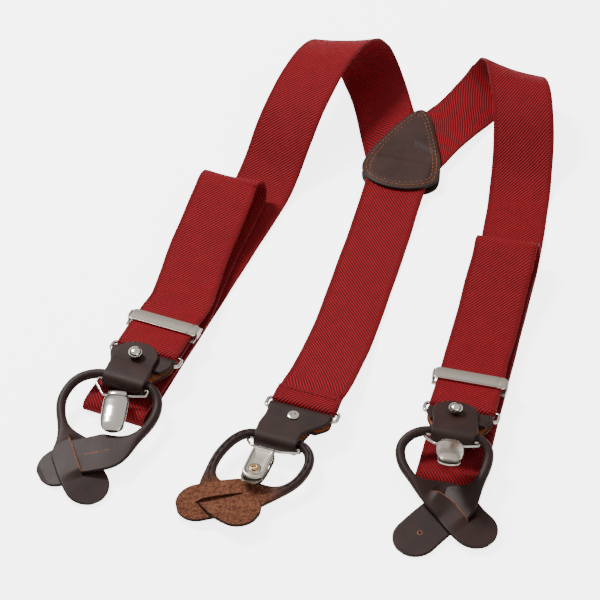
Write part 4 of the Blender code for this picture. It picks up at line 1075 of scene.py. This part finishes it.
def clip_place(end):
    """The clip's placement: its origin is on the bail's ends, and u runs to its mouth."""
    lean, clip_lean, yaw, aside = LEANS[end["side"]]
    hang, tilt = end["hang"], math.radians(lean)
    origin = hang((BAIL_AT + BAIL_DROP * math.cos(tilt), aside, CORD_UP - BAIL_DROP * math.sin(tilt)))
    u, v, w = hang.axes
    flat, out = u * math.cos(tilt) - w * math.sin(tilt), w * math.cos(tilt) + u * math.sin(tilt)
    (c, d), (e, f) = turned(yaw, (1, 0)), turned(yaw, (0, 1))
    along, across = c * flat + d * v, e * flat + f * v
    turn = math.radians(clip_lean) - tilt
    place = Place(origin, 0)
    place.axes = np.array(
        [
            along * math.cos(turn) - out * math.sin(turn),
            across,
            out * math.cos(turn) + along * math.sin(turn),
        ]
    )
    return place


def tongue(length, wide, tip, start):
    """Outline of a plate with a square end and a rounded tip, in u and v."""
    angles = np.radians(np.linspace(90, -90, 25))
    tip_arc = np.column_stack([length - tip + tip * np.cos(angles), wide / 2 * np.sin(angles)])
    return np.vstack([[(start, -wide / 2), (start, wide / 2)], tip_arc])


def dished(outline, heights, place, count=120):
    """A plate as rings of its outline shrunk towards its middle. heights lists (scale, height), from the
    middle of one face, out over the rim and in to the middle of the other."""
    outline = around_outline(outline, count)
    middle = (outline.max(0) + outline.min(0)) / 2
    rings = [np.column_stack([middle + (outline - middle) * s, np.full(count, h)]) for s, h in heights]
    return dict(points=place(np.array(rings)))


def clip(end):
    side = end["side"]
    place, body = clip_place(end), f"{side}_clip"
    low, high = CLIP_BACK - CLIP_SHEET, CLIP_BACK
    outline = tongue(CLIP_LENGTH, CLIP_WIDTH - 2.4, 4.5, CLIP_HOLD + 0.2)
    rim = [(0.02, low + 0.15), (0.3, low + 0.15), (0.72, low + 0.15), (0.78, low - 0.05), (0.82, low - 0.4)]
    rim += [(0.88, low - 0.5), (0.95, low - 0.35), (0.99, low + 0.05), (1.0, high - 0.25), (0.985, high)]
    rim += [(0.9, high), (0.5, high), (0.02, high)]
    grids = [dished(outline, rim, place)]
    boss = place.moved((CLIP_LENGTH - 7.0, 0, low + 0.15))
    grids.append(turned_solid([(0.05, -0.95), (2.0, -0.93), (3.0, -0.6), (3.6, 0.05), (0.05, 0.1)], boss))
    add_piece(f"{side}_clip_back_plate_pressed", grids, SATIN_NICKEL, body, [f"{side}_clip_back_plate"], 35)
    inside = np.column_stack([outline[:, 0] * 0.86 + 1.8, outline[:, 1] * 0.84])
    base, top = high + 0.15, high + 0.15 + PAD
    pad = [(0.02, base), (0.97, base), (1.0, base + 0.25), (1.0, top - 0.45)]
    pad += [(0.95, top), (0.5, top), (0.02, top)]
    add_piece(f"{side}_clip_pad_moulded", [dished(inside, pad, place)], RUBBER, body, [f"{side}_clip_pad"])
    angles = np.linspace(0, 2 * math.pi, 40, endpoint=False)
    ringed = np.array([(1.0, -0.55), (1.25, -0.8), (1.7, -0.85), (2.1, -0.6), (2.3, 0.0), (1.0, 0.0)])
    eyelet = place.moved((CLIP_LENGTH - 6.5, 0, low - 0.6))
    around = np.stack(
        [
            ringed[None, :, 0] * np.cos(angles)[:, None],
            ringed[None, :, 0] * np.sin(angles)[:, None],
            np.broadcast_to(ringed[None, :, 1], (40, len(ringed))),
        ],
        -1,
    )
    grid = dict(points=eyelet(around), closed=True)
    add_piece(f"{side}_clip_eyelet_rolled", [grid], POLISHED_BRASS, body, [f"{side}_clip_eyelet"])
    lever(side, place)


def lever(side, place):
    """The clip's domed cover: half ellipses across, whose width and rise follow smooth curves along it, with
    a folded edge, and an inner skin one sheet below."""
    stations = [(-2.0, 0.3, 0.66), (-1.2, 1.2, 0.72), (0.6, 1.5, 0.74), (1.1, 1.1, 0.76), (2.6, 2.0, 0.9)]
    stations += [(5.0, 2.6, 0.99), (10.0, 2.9, 1.0), (16.0, 2.7, 0.97), (20.5, 2.0, 0.88)]
    stations += [(23.0, 1.1, 0.74), (CLIP_LENGTH + 0.8, 0.3, 0.55)]
    curve = np.array(stations)
    fine = np.linspace(curve[0, 0], curve[-1, 0], 110)
    shape = smoothed(np.column_stack([np.interp(fine, curve[:, 0], curve[:, k]) for k in (1, 2)]), 2)
    rise, full = shape.T
    half = CLIP_WIDTH / 2 * full[:, None]
    base = CLIP_HOLD + 0.1
    angle = np.linspace(math.pi, 0, 33)[None]
    outer_v, inner_v = half * np.cos(angle), (half - 0.7) * np.cos(angle)
    outer_w = base + CLIP_SHEET + rise[:, None] * np.sin(angle)
    inner_w = base + rise[:, None] * np.sin(angle)
    v = np.hstack([outer_v, inner_v[:, ::-1]])
    w = np.hstack([outer_w, inner_w[:, ::-1]])
    local = np.stack([np.broadcast_to(fine[:, None], v.shape), v, w], -1)
    metal = SATIN_NICKEL if side == "right" else POLISHED_NICKEL
    add_piece(f"{side}_clip_lever_domed", [dict(points=place(local))], metal, f"{side}_lever",
              [f"{side}_clip_lever"], 35)


# ---------------------------------------------------------------- adjusters
def adjuster(side):
    """The adjuster's front plate: a sheet bowed across its height, with a rolled lower edge, a crease near
    its right end and both ends rounded. Each row is the plate's section at one place along its length."""
    place = ENDS[side]["strap"].moved((ADJUSTER_AT, 0, WEB_TURN))
    base = WEB_THICK / 2 + GAP
    half = PLATE_LENGTH / 2 - 0.45
    v = np.linspace(-half, half, 120)
    from_end = half - np.abs(v)
    pinch = 1.6 * np.clip(1 - from_end / 2.0, 0, 1) ** 2
    low, high = -PLATE_HEIGHT / 2 + pinch, PLATE_HEIGHT / 2 - pinch
    share = np.linspace(0, 1, 24)
    u = low[:, None] + (high - low)[:, None] * share
    crease = -0.28 * np.exp(-(((v - half + 4.2) / 0.5) ** 2))[:, None]
    bow = 0.28 * np.sin(math.pi * share)[None] + 0.35 * np.exp(-(((share - 0.97) / 0.06) ** 2))[None]
    end_drop = np.clip(from_end / 1.2, 0, 1)[:, None] ** 0.5
    top = base + PLATE_SHEET * 0.75 + (bow + crease) * end_drop
    bottom = base + 0.0 * top
    points = np.stack(
        [
            np.hstack([u, u[:, ::-1]]),
            np.broadcast_to(v[:, None], (len(v), 48)),
            np.hstack([top, bottom[:, ::-1]]),
        ],
        -1,
    )
    name = f"{side}_adjuster_plate"
    add_piece(f"{name}_pressed", [dict(points=place(points))], SATIN_NICKEL, name, [name], 35)
    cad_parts[f"{side}_adjuster_frame"].data.materials.clear()
    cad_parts[f"{side}_adjuster_frame"].data.materials.append(SATIN_NICKEL)


# ---------------------------------------------------------------- the whole object
def hem_stitching():
    """A row of maroon stitches across the rear webbing's turned-back end, near its ring."""
    place = ENDS["rear"]["strap"]
    back = 7.2
    height = WEB_TURN + WEB_THICK / 2 + 0.05 - 0.14 * (back - 4.0)
    ends = [(-BAR - back, v, height) for v in (-WEB_WIDTH / 2 + 1.5, WEB_WIDTH / 2 - 1.5)]
    path = place(np.linspace(*ends, 60))
    grids = sewn_line(path, np.tile(place.axes[2], (60, 1)), 2.4, 2.0)
    add_piece("rear_hem_stitching", grids, DARK_THREAD, "straps")


def build():
    patch_layer("patch_under", 0.0, PATCH_LEATHER, PATCH_HIDE, "patch_under_leather")
    patch_layer(
        "patch_top", PATCH_TOP, PATCH_TOP + PATCH_LEATHER, PATCH_HIDE, "patch_top_leather", PATCH_SWELL
    )
    patch_stitching()
    webbing("left_front_webbing_woven", LEFT_ROUTE, -1, slant=20.0)
    webbing("right_front_webbing_woven", RIGHT_ROUTE, -1, slant=-13.0)
    webbing("rear_webbing_woven", REAR_ROUTE, 1, ragged=0.5)
    hem_stitching()
    for end in ENDS.values():
        ring(end)
        hanger(end)
        stud(end)
        button_loop(end)
        bail(end)
        clip(end)
    for side in ("left", "right"):
        adjuster(side)


def studio_surround():
    """The room as a sphere of light: bright overhead, grey at eye level and dark low down behind the
    viewer, so that polished metal shows both. The height is the direction's z, and its y darkens the
    viewer's side."""
    world = bpy.data.worlds.new("studio")
    world.use_nodes = True
    tree = world.node_tree
    way = add(tree, "SeparateXYZ", Vector=add(tree, "TexCoord").outputs["Generated"]).outputs
    both = dict(operation="MULTIPLY_ADD")
    height = add(tree, "Math", both, in0=way["Y"], in1=0.25, in2=way["Z"]).outputs[0]
    tones = [(0.12, "#0E0C0B"), (0.4, "#5C5753"), (0.66, "#FFFFFF")]
    shade = add(tree, "ValToRGB", stops=tones, Fac=height)
    back = tree.nodes["Background"]
    tree.links.new(shade.outputs["Color"], back.inputs["Color"])
    back.inputs["Strength"].default_value = 0.85
    bpy.context.scene.world = world


def area_light(name, at, size, power, aim):
    lamp = bpy.data.lights.new(name, "AREA")
    lamp.size = size
    lamp.energy = power
    light = bpy.data.objects.new(name, lamp)
    light.location = at
    light.rotation_euler = (aim - Vector(at)).to_track_quat("-Z", "Y").to_euler()
    bpy.context.scene.collection.objects.link(light)


def stage():
    """A plain white floor, a broad key light from the upper left behind, a fill from the front, and the
    camera."""
    mesh = bpy.data.meshes.new("floor")
    corners = [(-6, -6, -0.0004), (6, -6, -0.0004), (6, 6, -0.0004), (-6, 6, -0.0004)]
    mesh.from_pydata(corners, [], [(0, 1, 2, 3)])
    floor = bpy.data.objects.new("floor", mesh)
    material, tree, shader = start_material("seamless_paper_white", Roughness=0.95, Specular_IOR_Level=0.1)
    shader.inputs["Base Color"].default_value = linear("#F6F6F5")
    shader.inputs["Emission Color"].default_value = (1, 1, 1, 1)
    seen = add(tree, "LightPath").outputs["Is Camera Ray"]
    glow = add(tree, "Math", dict(operation="MULTIPLY_ADD"), in0=seen, in1=3.2, in2=0.85)
    tree.links.new(glow.outputs[0], shader.inputs["Emission Strength"])
    mesh.materials.append(material)
    bpy.context.scene.collection.objects.link(floor)
    studio_surround()
    aim = Vector((-0.06, -0.118, 0.0))
    area_light("key", (-0.8, 0.5, 1.3), 0.36, 36.0, aim)
    area_light("fill", (0.6, -1.1, 1.2), 1.0, 5.0, aim)
    lens = bpy.data.cameras.new("camera")
    lens.sensor_width = 36
    lens.lens = 162
    camera = bpy.data.objects.new("camera", lens)
    camera.location = (-0.06, -1.16, 1.079)
    camera.rotation_euler = (aim - camera.location).to_track_quat("-Z", "Y").to_euler()
    bpy.context.scene.collection.objects.link(camera)
    bpy.context.scene.camera = camera


build()
stage()
